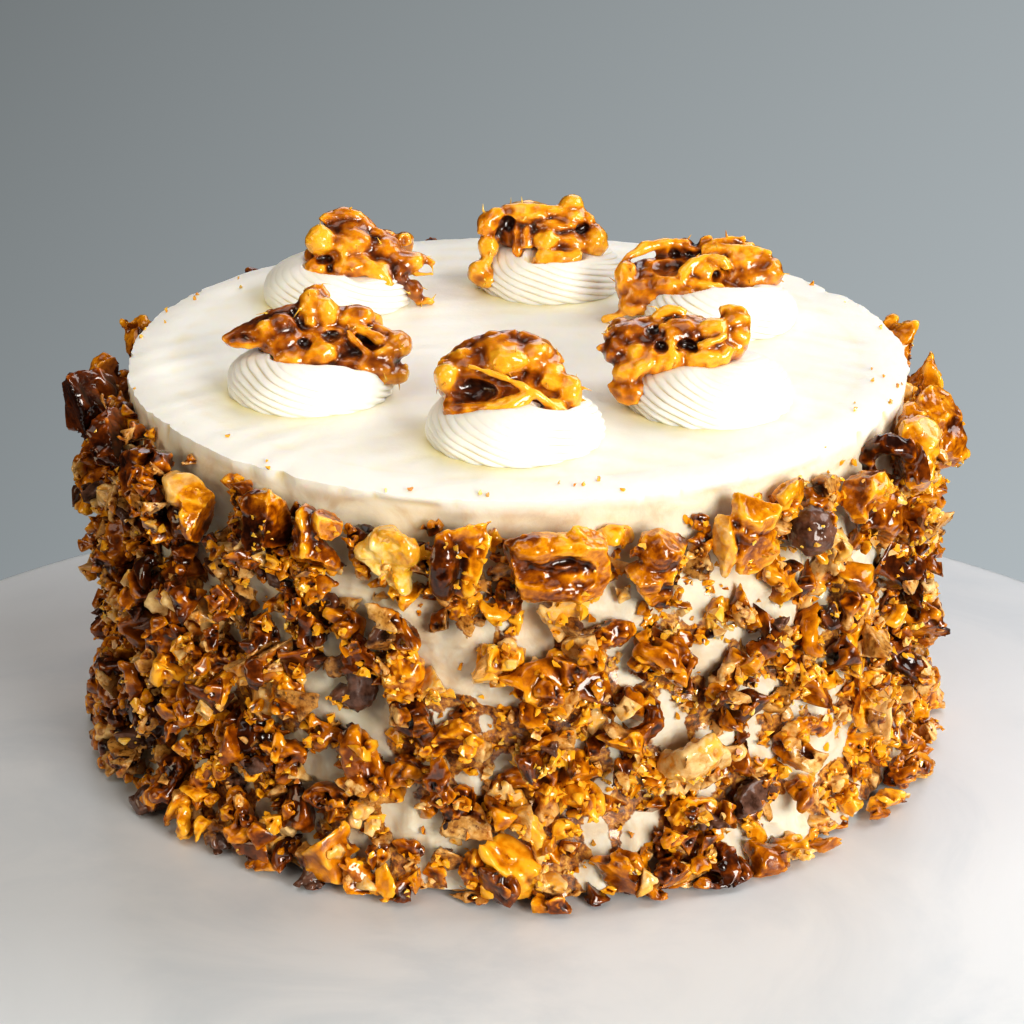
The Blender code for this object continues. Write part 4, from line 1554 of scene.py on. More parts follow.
curls = {}
rng = random.Random(27)
for name, (lobes, rows) in CURLS.items():
    curl = chop(model_nut(lobes, [], rows, 0.34), 7, 0.16, 0.34, rng)
    curl.name = "curl_" + name
    crinkle(curl, 2.6, 1.5, 1.4, 0.7)
    paint_flesh(curl, lobes)
    mark_relief(curl, 12, 0.5)
    rows = read_points(curl)
    low, high = rows.min(axis=0), rows.max(axis=0)
    write_points(curl, (rows - (low + high) / 2) / (high - low).max())
    thin_out(curl, 900)
    dress(curl, CHOPPED)
    smooth_look(curl)
    curls[name] = curl
big_kinds += list(curls.values())
print("curled bits:", list(curls))

# %% [markdown]
# ## The big chunks under the lip
# A row of the largest chunks stands just under the lip, and some reach up over it. Each one takes the
# place and the size of one chunk of the frame: its width along the side, its height, and how far it
# stands out.

# %% Fit a chunk to one of the frame's
def fill_box(piece, low, high):
    """Scales and moves a piece's points so that it fills a box."""
    points = read_points(piece)
    corner, far_corner = points.min(axis=0), points.max(axis=0)
    room = np.array(high) - np.array(low)
    write_points(piece, (points - corner) * (room / (far_corner - corner)) + np.array(low))


def rim_room(node):
    """The room of one of the frame's chunks: its axes along the side, up and out, and its box in them."""
    target = np.array([v.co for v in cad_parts[node].data.vertices])
    middle = target.mean(axis=0) - np.array(AXIS)
    angle = math.atan2(middle[1], middle[0])
    along = (-math.sin(angle), math.cos(angle), 0)
    out = (math.cos(angle), math.sin(angle), 0)
    axes = np.array((along, (0, 0, 1), out))
    placed = (target - np.array(AXIS)) @ axes.T
    return axes, placed.min(axis=0), placed.max(axis=0)


def fit_rim_chunk(chunk, node):
    """Fits a chunk, which lies along, up and out, to one of the frame's chunks."""
    axes, low, high = rim_room(node)
    fill_box(chunk, low, high)
    write_points(chunk, read_points(chunk) @ axes + np.array(AXIS))
    keep_in_box(chunk)
    hand_in(chunk, "chopped_nuts", node)


# %% [markdown]
# Those in front are each a shape of their own, so they are modelled from lobes and strands too. Their
# places are in millimetres along the side, up and outwards from the middle of the frame's chunk. A tone
# over 0.9 is bare flesh and one under 0.1 is the walnut's dark skin.

# %% List the front chunks
RIM_LOBES = {
    3: [(0, -3.4, 0,  3.4, 2.2, 2.4,  0.2), (-2, -0.4, 0,  2, 2.2, 2,  0.25)],
    4: [
        (-2, 2.8, 0.6,  4.2, 2.5, 2.6,  0.93), (3, -0.6, 0.6,  2.8, 5, 2.8,  0.6),
        (-2, -3, 0,  3.6, 2.8, 2.6,  0.3), (3.4, 4.6, 1,  1.4, 1.4, 1.2,  0.85),
    ],
    5: [
        (0.8, -0.6, 0,  3.1, 5.2, 3.4,  0.22), (1.2, 4.2, 0.5,  2.4, 1.9, 2.2,  0.55),
        (-2.4, -4.8, 0,  1.9, 2, 2.4,  0.2), (0.2, -3.6, 2.6,  2.2, 1.8, 1.6,  0.5),
        (-1.8, 4.4, 0,  1.3, 1.4, 1.8,  0.3), (3.4, 3, 0,  0.7, 1.6, 0.8,  0.8),
    ],
    6: [
        (-2.4, -0.5, 0,  2.6, 4.6, 3,  0.3), (2.8, 3.2, 1,  2.4, 2.7, 2.2,  0.6),
        (0.6, -3.4, 0.6,  3.4, 2.4, 2.4,  0.38), (2.9, 3.4, 2.8,  1.1, 1.5, 0.7,  0.95),
        (-2.6, 2.8, 2.2,  1.2, 1, 1,  0.8), (-1, -1.2, 2.6,  1, 1.5, 0.9,  0.82),
    ],
    7: [
        (-0.6, 1.8, 0,  3.6, 3.2, 1.6,  0.95), (-3.8, 0.8, 0.2,  2.3, 1.8, 1.2,  0.9),
        (3.4, 1.4, 0.4,  2.5, 2.8, 1.6,  0.45), (2.3, -2.6, 0,  1.8, 3, 1.4,  0.9),
        (2.6, -5.2, 0,  1.5, 1.4, 1.2,  0.95),
    ],
    8: [
        (-3, -1.4, 0.6,  2.6, 4.2, 3,  0.18), (1.4, 4, 0.2,  2.6, 2, 1.3,  0.7),
        (4.5, 6.4, 0,  1.2, 1.6, 1,  0.8), (0.6, -0.4, -0.4,  2.6, 4.4, 2,  0.3),
        (-3.4, 2.6, 1.2,  1.6, 1.4, 1.4,  0.35),
    ],
    9: [
        (1, -0.4, -0.8,  7.8, 4.8, 2.8,  0.45), (-1.2, 3.8, 1.2,  3.6, 2.2, 2.6,  0.6),
        (6.2, 4, 1.2,  2.7, 2.5, 2.8,  0.6), (2.4, 4.2, 1,  3, 1.8, 2.4,  0.93),
        (-6.4, 0.2, 0,  3.4, 2.8, 2.8,  0.5), (4.2, -1, 0.6,  4.2, 1.6, 2.4,  0.9),
        (8, -0.4, 0.8,  1.3, 4.4, 2.6,  0.6), (1, -3.4, 0.8,  5.6, 2.4, 2.8,  0.4),
        (6.4, -4.4, 1.4,  2.8, 1.9, 2.8,  0.65), (4.8, 6.6, 1,  1.2, 1, 1,  0.8),
    ],
    10: [
        (0, 4.4, 0.6,  3.4, 3, 3,  0.4), (-3.3, -1, 1,  3, 3, 3,  0.6),
        (4.4, 4.4, 0.8,  1.9, 2.5, 2.2,  0.95), (1.6, 1, 0,  3.4, 3.6, 2.8,  0.2),
        (1.9, -0.4, 3,  1.3, 0.9, 0.8,  0.95), (-4.4, -4.7, 1.4,  1.4, 1, 1,  0.92),
        (-0.6, -4.5, 1.8,  1.8, 1, 1,  0.85), (-5.4, 4.7, 0,  1, 1.7, 1.2,  0.5),
        (0.4, -4.4, 0,  3, 2.8, 2,  0.1),
    ],
    11: [
        (1.3, 3.4, 0.6,  4.2, 4, 3,  0.8), (1.6, -3.8, 0.4,  4.2, 3, 3,  0.68),
        (-4.9, -2.2, 0,  1.3, 5, 2.2,  0.93), (-0.4, -0.6, 0,  3, 3, 2,  0.3),
        (-0.8, 6.6, 0.4,  1.4, 1.4, 1.4,  0.8),
    ],
    12: [(-0.6, 0, 0,  4.2, 4.4, 4.2,  0.02), (3.6, 1.4, 0.2,  1.7, 2.2, 2,  0.7)],
    13: [
        (-1.4, 3.6, 0,  3.9, 3.4, 3,  0.5), (-0.6, 3.4, 2.4,  2, 1.9, 1.2,  0.93),
        (2.2, -2.4, 0.8,  3.7, 4, 3.2,  0.36), (2.4, 1, 1.6,  3, 1.3, 2.4,  0.66),
        (2, -6, 0.4,  2.6, 1.6, 2.2,  0.68), (-4.6, 0.2, 0.4,  2.2, 1.9, 2,  0.6),
    ],
    14: [
        (-1, 4.5, 0,  3.4, 3, 3,  0.94), (-3.6, -0.8, 1,  2.4, 4, 2.2,  0.72),
        (1.6, 0, 0.6,  2.6, 2.5, 2.4,  0.8), (0, -4.4, 0.6,  3.2, 2.6, 2.4,  0.72),
        (0, 0, -1.4,  4, 6, 2.6,  0.25), (4, -2.6, 0,  1.8, 3, 2,  0.5),
    ],
    15: [
        (0, 3.5, 0,  3.6, 3.8, 3.4,  0.7), (0, -2, 2,  3.6, 3.6, 3.6,  0.62),
        (0, -4.5, 4.6,  2.2, 1.4, 2,  0.75), (1, 1, 3.4,  2, 2, 1.6,  0.3),
        (-1.6, 5.4, 1.6,  2, 1.8, 2,  0.95),
    ],
}
RIM_STRANDS = {
    3: [
        (-3.6, -3, 0,  0, 1, 0.6,  4, 4.5, 0,  1.7, 0.22),
        (-3.6, -4.5, 0.6,  0, -1.4, 1.4,  3.8, 1.2, 0.6,  1.1, 0.93),
    ],
    4: [(4.6, 5.4, 0.6,  5.2, 2, 0.6,  4, -2, 1,  0.8, 0.75)],
    5: [
        (1.8, 5.2, 0.5,  1.7, 6.8, 0.6,  2.1, 8.6, 0.4,  0.4, 0.86),
        (-2.6, 4.6, 0.6,  -1.6, 1, 1,  -2.8, -4.4, 0.4,  1, 0.3),
    ],
    6: [
        (1.0, 5.6, 0.8,  4.6, 4.8, 0.8,  4.6, 1, 0.8,  0.8, 0.5),
        (-3.8, -3.8, 1.6,  -1, -4.6, 2.2,  2.4, -4.4, 1.6,  0.8, 0.8),
    ],
    7: [
        (-1, 5, 0.8,  2.4, 5.2, 1,  5.2, 2.4, 1,  0.8, 0.35),
        (-5.6, 0.4, 0.4,  -1.8, -1.4, 1,  1.4, -5.4, 0.6,  0.6, 0.95),
    ],
    8: [
        (-3.4, 1.6, 0.6,  0.8, 4.8, 0.6,  5, 7.6, 0.2,  1.2, 0.74),
        (4.4, 3.2, 0,  3.2, -1, 1.2,  0.6, -6.2, 1.2,  1.2, 0.94),
        (3, 3, 0.4,  2, -0.6, 1.6,  -0.4, -5.6, 1,  0.9, 0.6),
    ],
    9: [
        (-8.8, -1, 0,  -6, 3, 0.6,  -2.4, 5.4, 0.6,  1.2, 0.3),
        (-8.6, -1.8, 0.8,  -5, -2.4, 1.4,  -1, -2.2, 1.8,  1, 0.55),
        (-2, 1.6, 2.2,  2, 0.8, 2.4,  5.4, 1, 2.2,  0.5, 0.1),
    ],
    10: [
        (5.6, 6, 0,  5.2, 0, 0.6,  0.8, -7.2, 0.4,  1.3, 0.12),
        (-2.6, 6.6, 0,  0.6, 7.2, 0.4,  3.2, 7, 0.2,  0.7, 0.7),
    ],
    11: [
        (-3, 1, 1.6,  0, -1.2, 2.4,  4.8, -0.6, 1.6,  0.9, 0.6),
        (-2.6, -5.6, 1,  1, -6.6, 1.2,  4.8, -5.4, 1,  1, 0.75),
    ],
    12: [
        (-4, 2.6, 1.6,  -0.6, 4.2, 2.4,  2.8, 3, 1.6,  0.6, 0.04),
        (-3.8, -1, 2.4,  -0.8, 0.4, 4,  2.4, -0.6, 2.6,  0.6, 0.03),
    ],
    13: [
        (-5.2, 3.4, 0.6,  -2.4, 7, 0.8,  2.6, 5.8, 0.6,  1, 0.04),
        (-1.6, -1.6, 1,  -2, -4, 1,  -0.6, -6, 1,  1.1, 0.1),
    ],
    14: [
        (1.4, 6.6, 0,  4, 5, 0.4,  4.8, 1, 0.4,  1, 0.7),
        (-3.4, 2.8, 1.6,  -1, 1.2, 2.6,  2.4, 1.6, 2.2,  0.8, 0.9),
    ],
    15: [(0, 6, -1,  0, 5.6, 3,  0, 1.4, 4.6,  1.2, 0.6), (-2, -5.6, 0,  -1, -6, 3,  0, -5, 5,  1, 0.5)],
}

# %% [markdown]
# The others, which stand round the back and at the far left, are broken chunks. Two of the front ones
# are round or thin and aren't cut, and one of them is clear golden sugar.

# %% Build the row of big chunks
PLAIN_RIM_TINTS = {1: 0.22, 2: 0.30}
UNCUT_CHUNKS = (7, 12)
CLEAR_CHUNK = 7
rng = random.Random(31)
rim_chunks = []
for number in range(1, 29):
    node = f"rim_nut_{number:02d}"
    if number in RIM_LOBES:
        rows = RIM_STRANDS[number]
        cuts = 0 if number in UNCUT_CHUNKS else 8
        chunk = chop(model_nut(RIM_LOBES[number], [], rows, 0.32), cuts, 0.22, 0.30, rng)
        crinkle(chunk, 3.0, 1.2, 1.5, 0.40)
        paint_tones(chunk, RIM_LOBES[number], [], rows)
        write_value(chunk, "flesh", 0.0)
        mark_relief(chunk, 18, 0.60)
        dress(chunk, SUGAR if number == CLEAR_CHUNK else CHOPPED)
    else:
        chunk = own_copy(rim_kinds[number % len(rim_kinds)], "rim_chunk")
        chunk.rotation_euler = (0, 0, math.radians(rng.uniform(0, 360)))
        apply_place(chunk)
        write_value(chunk, "tint", PLAIN_RIM_TINTS.get(number, rng.uniform(0.15, 0.85)))
    chunk.name = f"rim_chunk_{number:02d}"
    smooth_look(chunk)
    fit_rim_chunk(chunk, node)
    rim_chunks.append(chunk)

# %% [markdown]
# ## Scatter the nuts in layers
# The nuts were pressed on by the handful: big pieces first find the frosting, smaller ones fill the
# gaps, and crumbs stick wherever there is room. So each layer is placed by rays sent in from outside,
# which stop at whatever is already there. Geometry Nodes then sets one chunk on each place, chosen,
# turned and sized by values on that place, and realizes them, so each layer becomes one real mesh.

# %% Build a layer from places
def set_values(mesh, name, kind, field, values):
    """Stores values on the points of a mesh."""
    mesh.attributes.new(name, kind, "POINT").data.foreach_set(field, np.array(values).ravel())


def lay_nodes(tree, kinds):
    """Fills a node tree that sets a chunk on each point and realizes them."""
    tree.interface.new_socket("Geometry", in_out="INPUT", socket_type="NodeSocketGeometry")
    tree.interface.new_socket("Geometry", in_out="OUTPUT", socket_type="NodeSocketGeometry")
    start = tree.nodes.new("NodeGroupInput")
    end = tree.nodes.new("NodeGroupOutput")
    chunks = tree.nodes.new("GeometryNodeCollectionInfo")
    chunks.inputs["Collection"].default_value = kinds
    chunks.inputs["Separate Children"].default_value = True
    chunks.inputs["Reset Children"].default_value = True
    held = {}
    for name, kind in (("kind", "INT"), ("turn", "FLOAT_VECTOR"), ("size", "FLOAT")):
        held[name] = tree.nodes.new("GeometryNodeInputNamedAttribute")
        held[name].data_type = kind
        held[name].inputs["Name"].default_value = name
    turn = tree.nodes.new("FunctionNodeEulerToRotation")
    put = tree.nodes.new("GeometryNodeInstanceOnPoints")
    put.inputs["Pick Instance"].default_value = True
    real = tree.nodes.new("GeometryNodeRealizeInstances")
    tree.links.new(start.outputs[0], put.inputs["Points"])
    tree.links.new(chunks.outputs[0], put.inputs["Instance"])
    tree.links.new(held["kind"].outputs["Attribute"], put.inputs["Instance Index"])
    tree.links.new(held["turn"].outputs["Attribute"], turn.inputs[0])
    tree.links.new(turn.outputs[0], put.inputs["Rotation"])
    tree.links.new(held["size"].outputs["Attribute"], put.inputs["Scale"])
    tree.links.new(put.outputs[0], real.inputs[0])
    tree.links.new(real.outputs[0], end.inputs[0])


def lay_nuts(name, kinds, places):
    """One mesh of a chunk on each place: its point, turn, size, kind and tint."""
    points, turns, sizes, picks, tints = zip(*places)
    bed = bpy.data.meshes.new(name)
    bed.from_pydata(points, [], [])
    set_values(bed, "turn", "FLOAT_VECTOR", "vector", turns)
    set_values(bed, "size", "FLOAT", "value", sizes)
    set_values(bed, "kind", "INT", "value", picks)
    set_values(bed, "tint", "FLOAT", "value", tints)
    layer = bpy.data.objects.new(name, bed)
    bpy.context.scene.collection.objects.link(layer)
    group = bpy.data.collections.new(name + " kinds")
    for kind in kinds:
        group.objects.link(kind)
    tree = bpy.data.node_groups.new("lay " + name, "GeometryNodeTree")
    lay_nodes(tree, group)
    layer.modifiers.new("lay", "NODES").node_group = tree
    apply_modifiers(layer)
    bpy.data.collections.remove(group)
    return layer


# %% [markdown]
# ## Find a place by a ray
# A ray from outside the cake, straight towards its axis, finds the outermost surface at an azimuth and
# a height. The chunk is set into it a little, with its thin side roughly facing outwards.

# %% Cast rays and choose places
FAR_OUT = 120 * MM
RAY_LENGTH = 60 * MM
rim_trees = [search_tree(chunk) for chunk in rim_chunks]
built = [search_tree(body), *rim_trees]


def surface_at(azimuth, z):
    """Radius of the outermost surface at an azimuth and height, and whether it is a rim chunk's."""
    start = on_side(azimuth, FAR_OUT, z)
    inward = on_side(azimuth, 0, z) - start
    nearest = FAR_OUT
    on_rim = False
    for tree in built:
        hit = tree.ray_cast(start, inward.normalized(), RAY_LENGTH)
        if hit[0] is not None and hit[3] < nearest:
            nearest = hit[3]
            on_rim = tree in rim_trees
    return FAR_OUT - nearest, on_rim


def lie_on_side(azimuth, lean, rng):
    """The turn that lays a chunk flat against the side, turned and leaning at random."""
    angle = math.radians(azimuth)
    facing = Matrix.Rotation(angle, 4, "Z") @ Matrix.Rotation(math.pi / 2, 4, "Y")
    spin = Matrix.Rotation(rng.uniform(0, math.tau), 4, "Z")
    tilt = Matrix.Rotation(rng.gauss(0, lean), 4, "X") @ Matrix.Rotation(rng.gauss(0, lean), 4, "Y")
    flip = Matrix.Rotation(math.pi if rng.random() < 0.4 else 0, 4, "X")
    return (facing @ tilt @ spin @ flip).to_euler()


def keep_share(z):
    """How densely the nuts lie at a height: all over the side, and fewer up to the lip."""
    return 1 - 0.50 * min(1.0, max(0.0, (z / MM - 63) / 9))


TRIES_EACH = 30
SHADED_LEFT = (-175, -116)
LARGEST_ON_RIM = 2.6 * MM


def pick_tint(azimuth, size, rng):
    """The tone of one piece of nut: darker at the shaded left, as painted shade, and never extreme in a
    crumb.
    """
    # Painted shade: pieces at the shaded left of the side get a darker tone.
    painted_left_shade = 0.10 if SHADED_LEFT[0] < azimuth < SHADED_LEFT[1] else 0.0
    tint = rng.gauss(0.56 - painted_left_shade, 0.26)
    if size > 3.5 * MM:
        return min(1.0, max(0.0, tint))
    return min(0.88, max(0.2, tint))


def choose_places(throw, kinds, rng):
    """Places for one throw of nuts, which is a row of the table of throws."""
    count, sizes, held_in, sink, lean, bare_limit, spacing, gaps, heights, around = throw
    places = []
    taken = []
    tries = 0
    while len(places) < count and tries < count * TRIES_EACH:
        tries += 1
        azimuth = rng.uniform(*around)
        size = rng.uniform(*sizes) * MM
        lowest = size * 0.30 if heights[1] > 10 else 0.0
        z = rng.uniform(max(lowest, heights[0] * MM), heights[1] * MM)
        if rng.random() > keep_share(z) or bareness(azimuth, z) > bare_limit * rng.uniform(0.6, 1.4):
            continue
        if gaps > rng.random() + sticking(on_side(azimuth, CRUMB_RADIUS, z)):
            continue
        radius, on_rim = surface_at(azimuth, z)
        if radius == 0 or (on_rim and size > LARGEST_ON_RIM):
            continue
        middle = radius + size * (0.5 * 0.6 - sink)
        too_far = middle + size * 0.32 - (OUTER_RADIUS - held_in * MM)
        if too_far > size * 0.30:
            continue
        middle -= max(too_far, 0.0)
        point = on_side(azimuth, middle, z)
        if spacing and any((point - other).length < spacing * (size + room) / 2 for other, room in taken):
            continue
        taken.append((point, size))
        tint = pick_tint(azimuth, size, rng)
        places.append((point, lie_on_side(azimuth, lean, rng), size, rng.randrange(kinds), tint))
    print(len(places), "places from", tries, "tries")
    return places


def choose_layer(name, kinds, rng):
    """Places for all the throws of a layer, one throw after the other."""
    return [place for throw in THROWS[name] for place in choose_places(throw, len(kinds), rng)]


def lay_layer(name, kinds, places):
    """Lays a layer of nuts, registers it and lets the next layers lie on it."""
    layer = lay_nuts(name, kinds, places)
    keep_in(layer)
    built.append(search_tree(layer))
    return layer


# %% [markdown]
# Each layer is laid in one or more throws, first all over the side and then where it needs more: at the
# foot, at the left, and up to the lip. A throw has the most pieces that it lays, their sizes in
# millimetres, how far inside the outline they stay, how deep they sink in and how much they lean, how
# bare a place may be, how far apart they keep, and how much they keep to clusters, and at last where:
# its heights in millimetres and its azimuths in degrees.

# %% List the throws
ALL_ROUND = (-180, 180)
WHOLE_SIDE = (0, 71)
THROWS = {
    "nut_chunks": [
        (135, (9.5, 15.5), 0, 0.02, 0.6, 0.6, 0.62, 0, WHOLE_SIDE, ALL_ROUND),
        (36, (9, 14), 0, -0.10, 0.6, 0.8, 0.62, 0, (0, 6), ALL_ROUND),
        (16, (8, 12), 0, -0.05, 0.6, 0.9, 0.5, 0, (6, 66), (-180, -122)),
    ],
    "nut_bits": [
        (350, (6.2, 10), 0.5, 0.08, 0.7, 0.6, 0.55, 0, WHOLE_SIDE, ALL_ROUND),
        (70, (5.5, 9), 0, 0.0, 0.7, 0.9, 0.5, 0, (0, 5), ALL_ROUND),
        (52, (6, 9), 0, -0.45, 0.5, 1.0, 0.55, 0, (0, 1.5), ALL_ROUND),
        (14, (6.5, 9.5), 0, -0.10, 0.6, 1.0, 0.5, 0, (5, 62), (-180, -160)),
        (26, (5.5, 8.5), 0, 0.0, 0.7, 0.9, 0.6, 0, (58, 71), (-180, -134)),
        (20, (5.0, 7.5), 0, 0.0, 0.7, 0.9, 0.6, 0, (56, 67), (-134, -90)),
        (34, (5.0, 7.5), 0, 0.0, 0.7, 0.9, 0.6, 0, (56, 68), (-60, 180)),
    ],
    "nut_pieces": [
        (780, (3.8, 6.6), 1.5, 0.12, 0.8, 0.6, 0.5, 0.6, WHOLE_SIDE, ALL_ROUND),
        (60, (3.4, 5.5), 0, 0.05, 0.8, 0.9, 0.5, 0, (60, 72), (-180, -134)),
        (90, (3.6, 6.0), 0, 0.08, 0.8, 0.9, 0.5, 0, (0, 60), (-180, -122)),
        (40, (3.2, 5.2), 0, 0.05, 0.8, 0.9, 0.5, 0, (58, 69), (-134, -90)),
    ],
    "nut_crumbs": [(1150, (2.0, 3.8), 4, 0.2, 0.8, 0.6, 0, 0.85, WHOLE_SIDE, ALL_ROUND)],
    "nut_grains": [(1700, (1.1, 2.3), 4, 0.15, 0.9, 0.8, 0, 0.95, WHOLE_SIDE, ALL_ROUND)],
    "sugar_lumps": [(5000, (1.8, 3.6), 0, 0.15, 1.0, 0.9, 0, 0, WHOLE_SIDE, ALL_ROUND)],
    "sugar_crumbs": [(9000, (0.8, 1.7), 0, 0.05, 1.2, 0.8, 0, 0, WHOLE_SIDE, ALL_ROUND)],
}

# %% [markdown]
# A few pieces on the shown side are listed one by one: the azimuth and height of its middle, the curl, its
# turn in degrees, its length in millimetres and its tint.

# %% Set a few listed pieces
PICKED = [
    (-98.0, 31, "hook", 0, 13.5, 0.62), (-123.0, 6, "hook", 60, 12, 0.98),
    (-89.5, 19.5, "strip", 10, 13, 0.55), (-78.0, 51, "knob", 5, 8.5, 0.45),
    (-72.5, 46, "saddle", 80, 10.5, 0.30), (-92.0, 47, "saddle", 20, 9, 0.75),
    (-85.0, 43, "strip", 195, 11, 0.90), (-96.5, 56, "knob", 40, 7, 0.70),
    (-91.0, 58, "knob", 90, 7.5, 0.28), (-97.5, 18, "knob", 60, 9, 0.30),
    (-111.5, 40, "saddle", 100, 12, 0.05), (-121.5, 34, "knob", 75, 10, 0.78),
    (-93.5, 6, "saddle", 0, 11, 0.45), (-62.0, 34, "bow", 15, 12, 0.80),
    (-52.0, 40, "hook", 120, 11, 0.60), (-48.0, 24, "bow", 70, 12, 0.66),
    (-66.0, 12, "saddle", 160, 12, 0.80), (-134.0, 22, "strip", 30, 11, 0.85),
    (-146.0, 44, "saddle", 60, 11, 0.35), (-36.0, 34, "strip", 20, 12, 0.90),
    (-28.0, 14, "hook", 200, 11, 0.66),
]


def lie_picked(azimuth, turn):
    """The turn that lays a picked piece flat against the side with its own front outwards."""
    angle = math.radians(azimuth + 90)
    upright = Matrix.Rotation(angle, 4, "Z") @ Matrix.Rotation(math.pi / 2, 4, "X")
    return (upright @ Matrix.Rotation(math.radians(turn), 4, "Z")).to_euler()


curl_names = list(curls)
first_curl = len(big_kinds) - len(curls)
picked_places = []
for azimuth, height, curl, turn, length, tint in PICKED:
    radius = surface_at(azimuth, height * MM)[0] + length * 0.20 * MM
    radius = min(radius, OUTER_RADIUS - length * 0.22 * MM)
    point = on_side(azimuth, radius, height * MM)
    kind = first_curl + curl_names.index(curl)
    picked_places.append((point, lie_picked(azimuth, turn), length * MM, kind, tint))
print("pieces set by hand:", len(picked_places))

# %% Lay the layers of nuts
NUT_LAYERS = {
    "nut_chunks": big_kinds,
    "nut_bits": bit_kinds,
    "nut_pieces": small_kinds,
    "nut_crumbs": crumb_kinds,
    "nut_grains": grain_kinds,
}
rng = random.Random(41)
layers = []
for name, kinds in NUT_LAYERS.items():
    places = choose_layer(name, kinds, rng)
    if name == "nut_chunks":
        places = picked_places + places
    layers.append(lay_layer(name, kinds, places))

# %% [markdown]
# ## Crumbs of burnt sugar
# They lie in clusters: a few large ones on the shown side, each given by its azimuth, its height and
# its size in millimetres, and many small ones all round. A few have fallen on the top near the lip.

# %% Lay the sugar
SUGAR_SPOTS = [
    (-73.5, 21.5, 8), (-100, 40, 4), (-67, 36, 6), (-83, 36, 5),
    (-54, 46, 5), (-120, 50, 4), (-108, 20, 4),
]


def in_clusters(places, level, rng):
    """Keeps the places where sugar lies, which is in clusters, and drops the others."""
    spots = [(on_side(azimuth, CRUMB_RADIUS, z * MM), size * MM) for azimuth, z, size in SUGAR_SPOTS]
    kept = []
    for place in places:
        near = max(1.2 - (place[0] - spot).length / size for spot, size in spots)
        if max(noise.noise(place[0] / (8 * MM)), near) + 0.25 * rng.random() > level:
            kept.append(place)
    return kept


def on_top(count, rng):
    """Places for a few crumbs on the top, most of them near the lip."""
    places = []
    top = search_tree(body)
    for _ in range(count):
        azimuth = rng.uniform(-180, 180)
        radius = LIP_RADIUS - rng.uniform(0.3, 2.6) ** 2 * MM - MM
        hit = top.ray_cast(on_side(azimuth, radius, TOP + 5 * MM), Vector((0, 0, -1)))[0]
        size = rng.uniform(0.6, 1.5) * MM
        turn = (rng.uniform(0, 6), rng.uniform(0, 6), rng.uniform(0, 6))
        place = hit + Vector((0, 0, size * 0.2))
        places.append((place, turn, size, rng.randrange(len(grain_kinds)), rng.random()))
    return places


for kind in grain_kinds + crumb_kinds:
    dress(kind, SUGAR)
lumps = in_clusters(choose_layer("sugar_lumps", crumb_kinds, rng), 0.60, rng)
layers.append(lay_layer("sugar_lumps", crumb_kinds, lumps))
crumbs = in_clusters(choose_layer("sugar_crumbs", grain_kinds, rng), 0.40, rng)
layers.append(lay_layer("sugar_crumbs", grain_kinds, crumbs + on_top(46, rng)))
hand_in(layers[0], "chopped_nuts", "nut_coat")
for layer in layers[1:]:
    hand_in(layer, "chopped_nuts")

# %% [markdown]
# ## Clear away the patterns
# The kernels, the kinds of chunk and the first rosette were only there to be copied.

# %% Delete the pieces that were copied
for kinds in (kernels, rim_kinds, big_kinds, bit_kinds, small_kinds, crumb_kinds, grain_kinds, [rosette]):
    for helper in kinds:
        bpy.data.objects.remove(helper)
shown = [piece for piece in bpy.data.objects if piece.type == "MESH" and not piece.hide_render]
print("pieces left:", len(shown))

# %% [markdown]
# ## Floor, light and camera
# The cake stands on a pale round table top under soft daylight that comes mostly from the right. Large
# area lamps do that: one from a window at the right rear and one in front, with weaker ones overhead,
# at the left and behind, and the world gives the rest.

# %% Make the table top
TABLE_RADIUS = 163 * MM
TABLE_THICKNESS = 20 * MM
TABLE_MIDDLE = (-1 * MM, -54 * MM, -TABLE_THICKNESS / 2)
bpy.ops.object.select_all(action="DESELECT")
bpy.ops.mesh.primitive_cylinder_add(
    vertices=240, radius=TABLE_RADIUS, depth=TABLE_THICKNESS, location=TABLE_MIDDLE
)
table = bpy.context.active_object
table.name = "table_top"
bevel = table.modifiers.new("round edge", "BEVEL")
bevel.width = 3 * MM
bevel.segments = 3
apply_modifiers(table)
apply_place(table)
smooth_look(table, 40)
stone = Recipe(bpy.data.materials.new("pale_stone"))
veins = stone.noise(60 * MM, 6, 0.6, 1.2)
greys = [(0.35, (0.59, 0.63, 0.67)), (0.5, (0.66, 0.69, 0.72)), (0.7, (0.68, 0.71, 0.74))]
stone.set(Base_Color=stone.ramp(veins, greys), Roughness=0.35)
dress(table, stone.holder)
table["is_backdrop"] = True

# %% Hang the lamps
def hang_lamp(name, place, width, height, power, colour):
    """A rectangular lamp that faces the cake."""
    lamp = bpy.data.objects.new(name, bpy.data.lights.new(name, "AREA"))
    lamp.data.shape = "RECTANGLE"
    lamp.data.size = width
    lamp.data.size_y = height
    lamp.data.energy = power
    lamp.data.color = colour
    lamp.location = place
    aim = Vector((0, 0, 0.04)) - Vector(place)
    lamp.rotation_euler = aim.to_track_quat("-Z", "Y").to_euler()
    bpy.context.scene.collection.objects.link(lamp)


hang_lamp("window_light", (1.0, 0.30, 0.80), 0.8, 0.8, 8.3, (1.0, 0.985, 0.97))
hang_lamp("overhead_fill", (-0.35, -0.25, 1.3), 0.9, 0.9, 3.5, (1.0, 0.97, 0.93))
hang_lamp("front_fill", (0.72, -1.08, 0.42), 0.6, 0.6, 18, (1.0, 0.96, 0.90))
hang_lamp("left_fill", (-1.1, -0.5, 0.45), 0.6, 0.6, 3.6, (1.0, 0.86, 0.64))
hang_lamp("back_sky", (0.20, 1.30, 0.85), 1.2, 0.8, 5.0, (0.96, 0.94, 1.0))
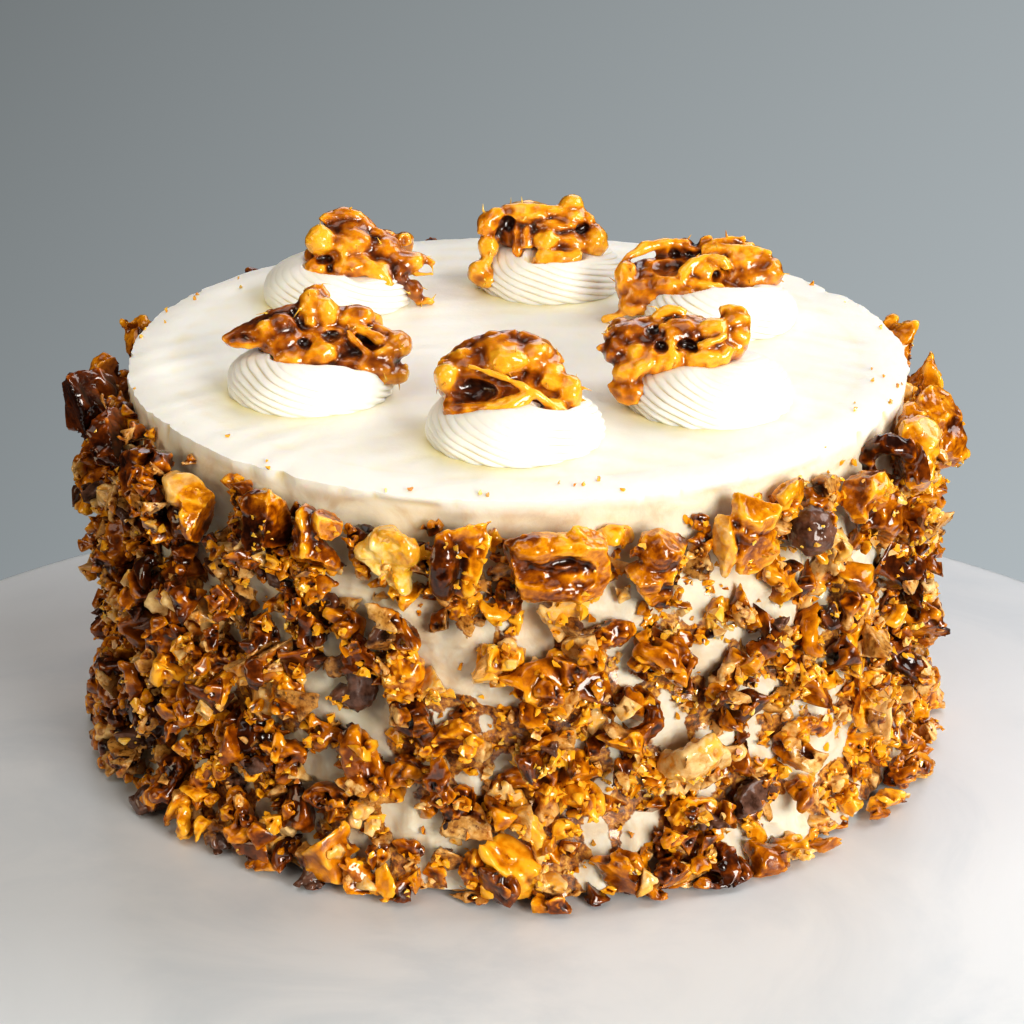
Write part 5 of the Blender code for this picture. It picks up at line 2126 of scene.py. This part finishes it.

# %% [markdown]
# The world has three looks. What falls on the cake is a soft warm light. Behind the cake stands a grey
# wall that is painted lighter towards the right, as painted light from the window's side. A glazed nut
# would mirror the whole room as a grey veil, so in reflections the room is nearly dark, and the lamps
# alone give the gloss.

# %% Paint the room
world = bpy.data.worlds.new("soft_room")
bpy.context.scene.world = world
room = Recipe(world)
soft = room.add("ShaderNodeBackground", {}, {"Color": (1.0, 0.95, 0.86), "Strength": 0.13})
dark = room.add("ShaderNodeBackground", {}, {"Color": (1.0, 0.98, 0.95), "Strength": 0.02})
towards = room.add("ShaderNodeTexCoord", {}, {}, "Generated")
# Painted light: the wall seen by the camera is lighter towards the right.
share = room.add("ShaderNodeVectorMath", {"operation": "DOT_PRODUCT"}, [towards, (1.68, 0.0, -1.65)], "Value")
wall_painted_light = room.mix(share, (0.166, 0.180, 0.184), (0.400, 0.437, 0.455))
wall = room.add("ShaderNodeBackground", {}, {"Color": wall_painted_light, "Strength": 1.0})
mirrored = room.add("ShaderNodeLightPath", {}, {}, "Is Glossy Ray")
seen = room.add("ShaderNodeLightPath", {}, {}, "Is Camera Ray")
lit = room.add("ShaderNodeMixShader", {}, [mirrored, soft, dark])
whole = room.add("ShaderNodeMixShader", {}, [seen, lit, wall])
room.plug(room.tree.nodes["World Output"].inputs["Surface"], whole)
bpy.context.scene.view_settings.view_transform = "Standard"
bpy.context.scene.view_settings.look = "Medium High Contrast"

# %% [markdown]
# ## The camera
# It looks down at the cake by a little over twenty degrees, from half a metre away through a long lens.

# %% Place the camera
CAMERA_RISE = math.radians(19.52)
CAMERA_DISTANCE = 0.5525
AIM_HEIGHT = 75 * MM
LOOKING_DOWN = 22.73
TURN = 0.10
camera = bpy.data.objects.new("camera", bpy.data.cameras.new("camera"))
camera.data.lens = 100
camera.data.sensor_width = 36
offset = Vector((0, -math.cos(CAMERA_RISE), math.sin(CAMERA_RISE))) * CAMERA_DISTANCE
camera.location = AXIS + Vector((0, 0, AIM_HEIGHT)) + offset
camera.rotation_euler = (math.radians(90 - LOOKING_DOWN), 0, math.radians(TURN))
bpy.context.scene.collection.objects.link(camera)
bpy.context.scene.camera = camera

# %% [markdown]
# ## Print the size and finish
# The detailed cake has to fill the same box as the frame, so both boxes are printed.

# %% Print the sizes and finish
look_low, look_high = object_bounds()
sizes = {
    "cad": [list(cad_low), list(cad_high)],
    "visual": [list(look_low), list(look_high)],
}
for name, (low, high) in sizes.items():
    print(name, [round(v / MM, 1) for v in low], [round(v / MM, 1) for v in high])
